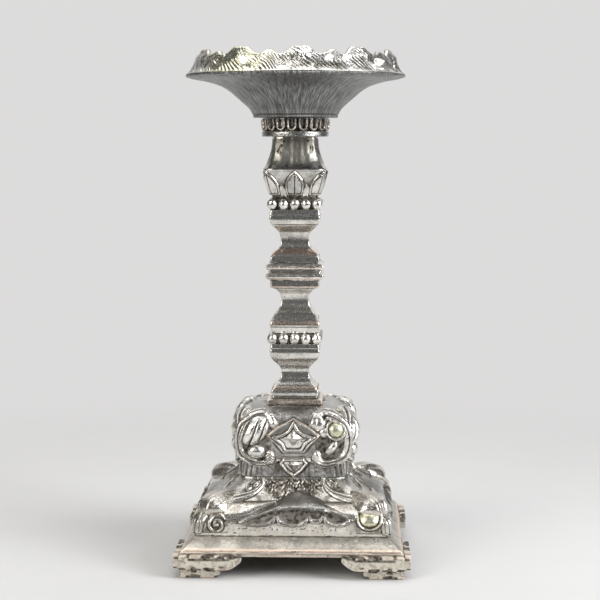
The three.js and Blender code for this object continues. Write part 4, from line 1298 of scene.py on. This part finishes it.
def floor():
    """A pale floor that fades into the pale surroundings."""
    corners = [(1.3 * x, 1.3 * y, -0.0002) for x, y in ((-1, -1), (1, -1), (1, 1), (-1, 1))]
    made = stage_mesh("floor", corners, [(0, 1, 2, 3)], paper("floor_paper", (0.1, 0.55)))
    made.visible_glossy = False


def reflected_sweep():
    """A pale sheet that curves up behind the object. Only reflections see it, so no view is blocked."""
    near, far, rise, bend, width = -0.42, 0.75, 1.8, 0.35, 0.85
    curve = [(far - bend + bend * math.sin(angle), bend - bend * math.cos(angle))
             for angle in np.linspace(0, QUARTER, 17)]
    section = [(near, 0.0), *curve, (far, rise)]
    points = [TURN @ Vector((x, y, z)) for y, z in section for x in (-width, width)]
    quads = [(i, i + 1, i + 3, i + 2) for i in range(0, len(points) - 2, 2)]
    made = stage_mesh("reflected_sweep", points, quads, paper("sweep_paper"))
    made.visible_camera = False
    made.visible_diffuse = False
    made.visible_shadow = False


def soft_box(name, place, width, height, watts, colour=(1, 1, 1)):
    """A rectangular light aimed at the middle of the object."""
    light = bpy.data.lights.new(name, "AREA")
    light.shape = "RECTANGLE"
    light.size = width
    light.size_y = height
    light.energy = watts
    light.color = colour
    made = bpy.data.objects.new(name, light)
    made.location = place
    made.rotation_euler = (Vector((0, 0, 0.13)) - Vector(place)).to_track_quat("-Z", "Y").to_euler()
    bpy.context.scene.collection.objects.link(made)


def surroundings():
    """A dark room for reflections, and pale surroundings where the camera looks past the object."""
    world = bpy.data.worlds.new("studio")
    world.use_nodes = True
    tree = world.node_tree
    dark = tree.nodes["Background"]
    dark.inputs["Color"].default_value = (0.098, 0.1, 0.102, 1)
    pale = tree.nodes.new("ShaderNodeBackground")
    pale.inputs["Color"].default_value = (0.725, 0.717, 0.715, 1)
    seen = tree.nodes.new("ShaderNodeLightPath")
    choice = tree.nodes.new("ShaderNodeMixShader")
    for i, source in enumerate((seen.outputs["Is Camera Ray"], dark.outputs[0], pale.outputs[0])):
        tree.links.new(source, choice.inputs[i])
    tree.links.new(choice.outputs[0], tree.nodes["World Output"].inputs["Surface"])
    bpy.context.scene.world = world
    bpy.context.scene.view_settings.view_transform = "Standard"


def camera():
    """The camera stands in front, a little below the top of the object, and looks slightly down."""
    lens = bpy.data.cameras.new("camera")
    lens.lens = LENS_MM
    lens.sensor_width = 36
    made = bpy.data.objects.new("camera", lens)
    made.location = TURN @ Vector((CAMERA_SIDE, -CAMERA_DISTANCE, CAMERA_HEIGHT))
    made.rotation_euler = Euler((QUARTER - CAMERA_PITCH, 0, OBJECT_YAW))
    bpy.context.scene.collection.objects.link(made)
    bpy.context.scene.camera = made


floor()
reflected_sweep()
soft_box("window_left", (-0.85, -0.85, 0.65), 0.75, 0.95, 9.0, (1.0, 0.98, 0.92))
soft_box("window_right", (1.0, -0.5, 0.6), 0.65, 0.85, 14, (0.97, 0.985, 1.0))
soft_box("overhead", (0, 0.1, 1.25), 1.2, 1.0, 9)
soft_box("front_card", (0.3, -1.3, 0.95), 0.3, 0.3, 0.4)
surroundings()
camera()

for part in ("tie_rod", "clamp_bar", "rod_washer", "wing_nut", "pricket_washer", "pricket_spike"):
    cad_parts[part].data.materials.clear()
    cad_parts[part].data.materials.append(STEEL)
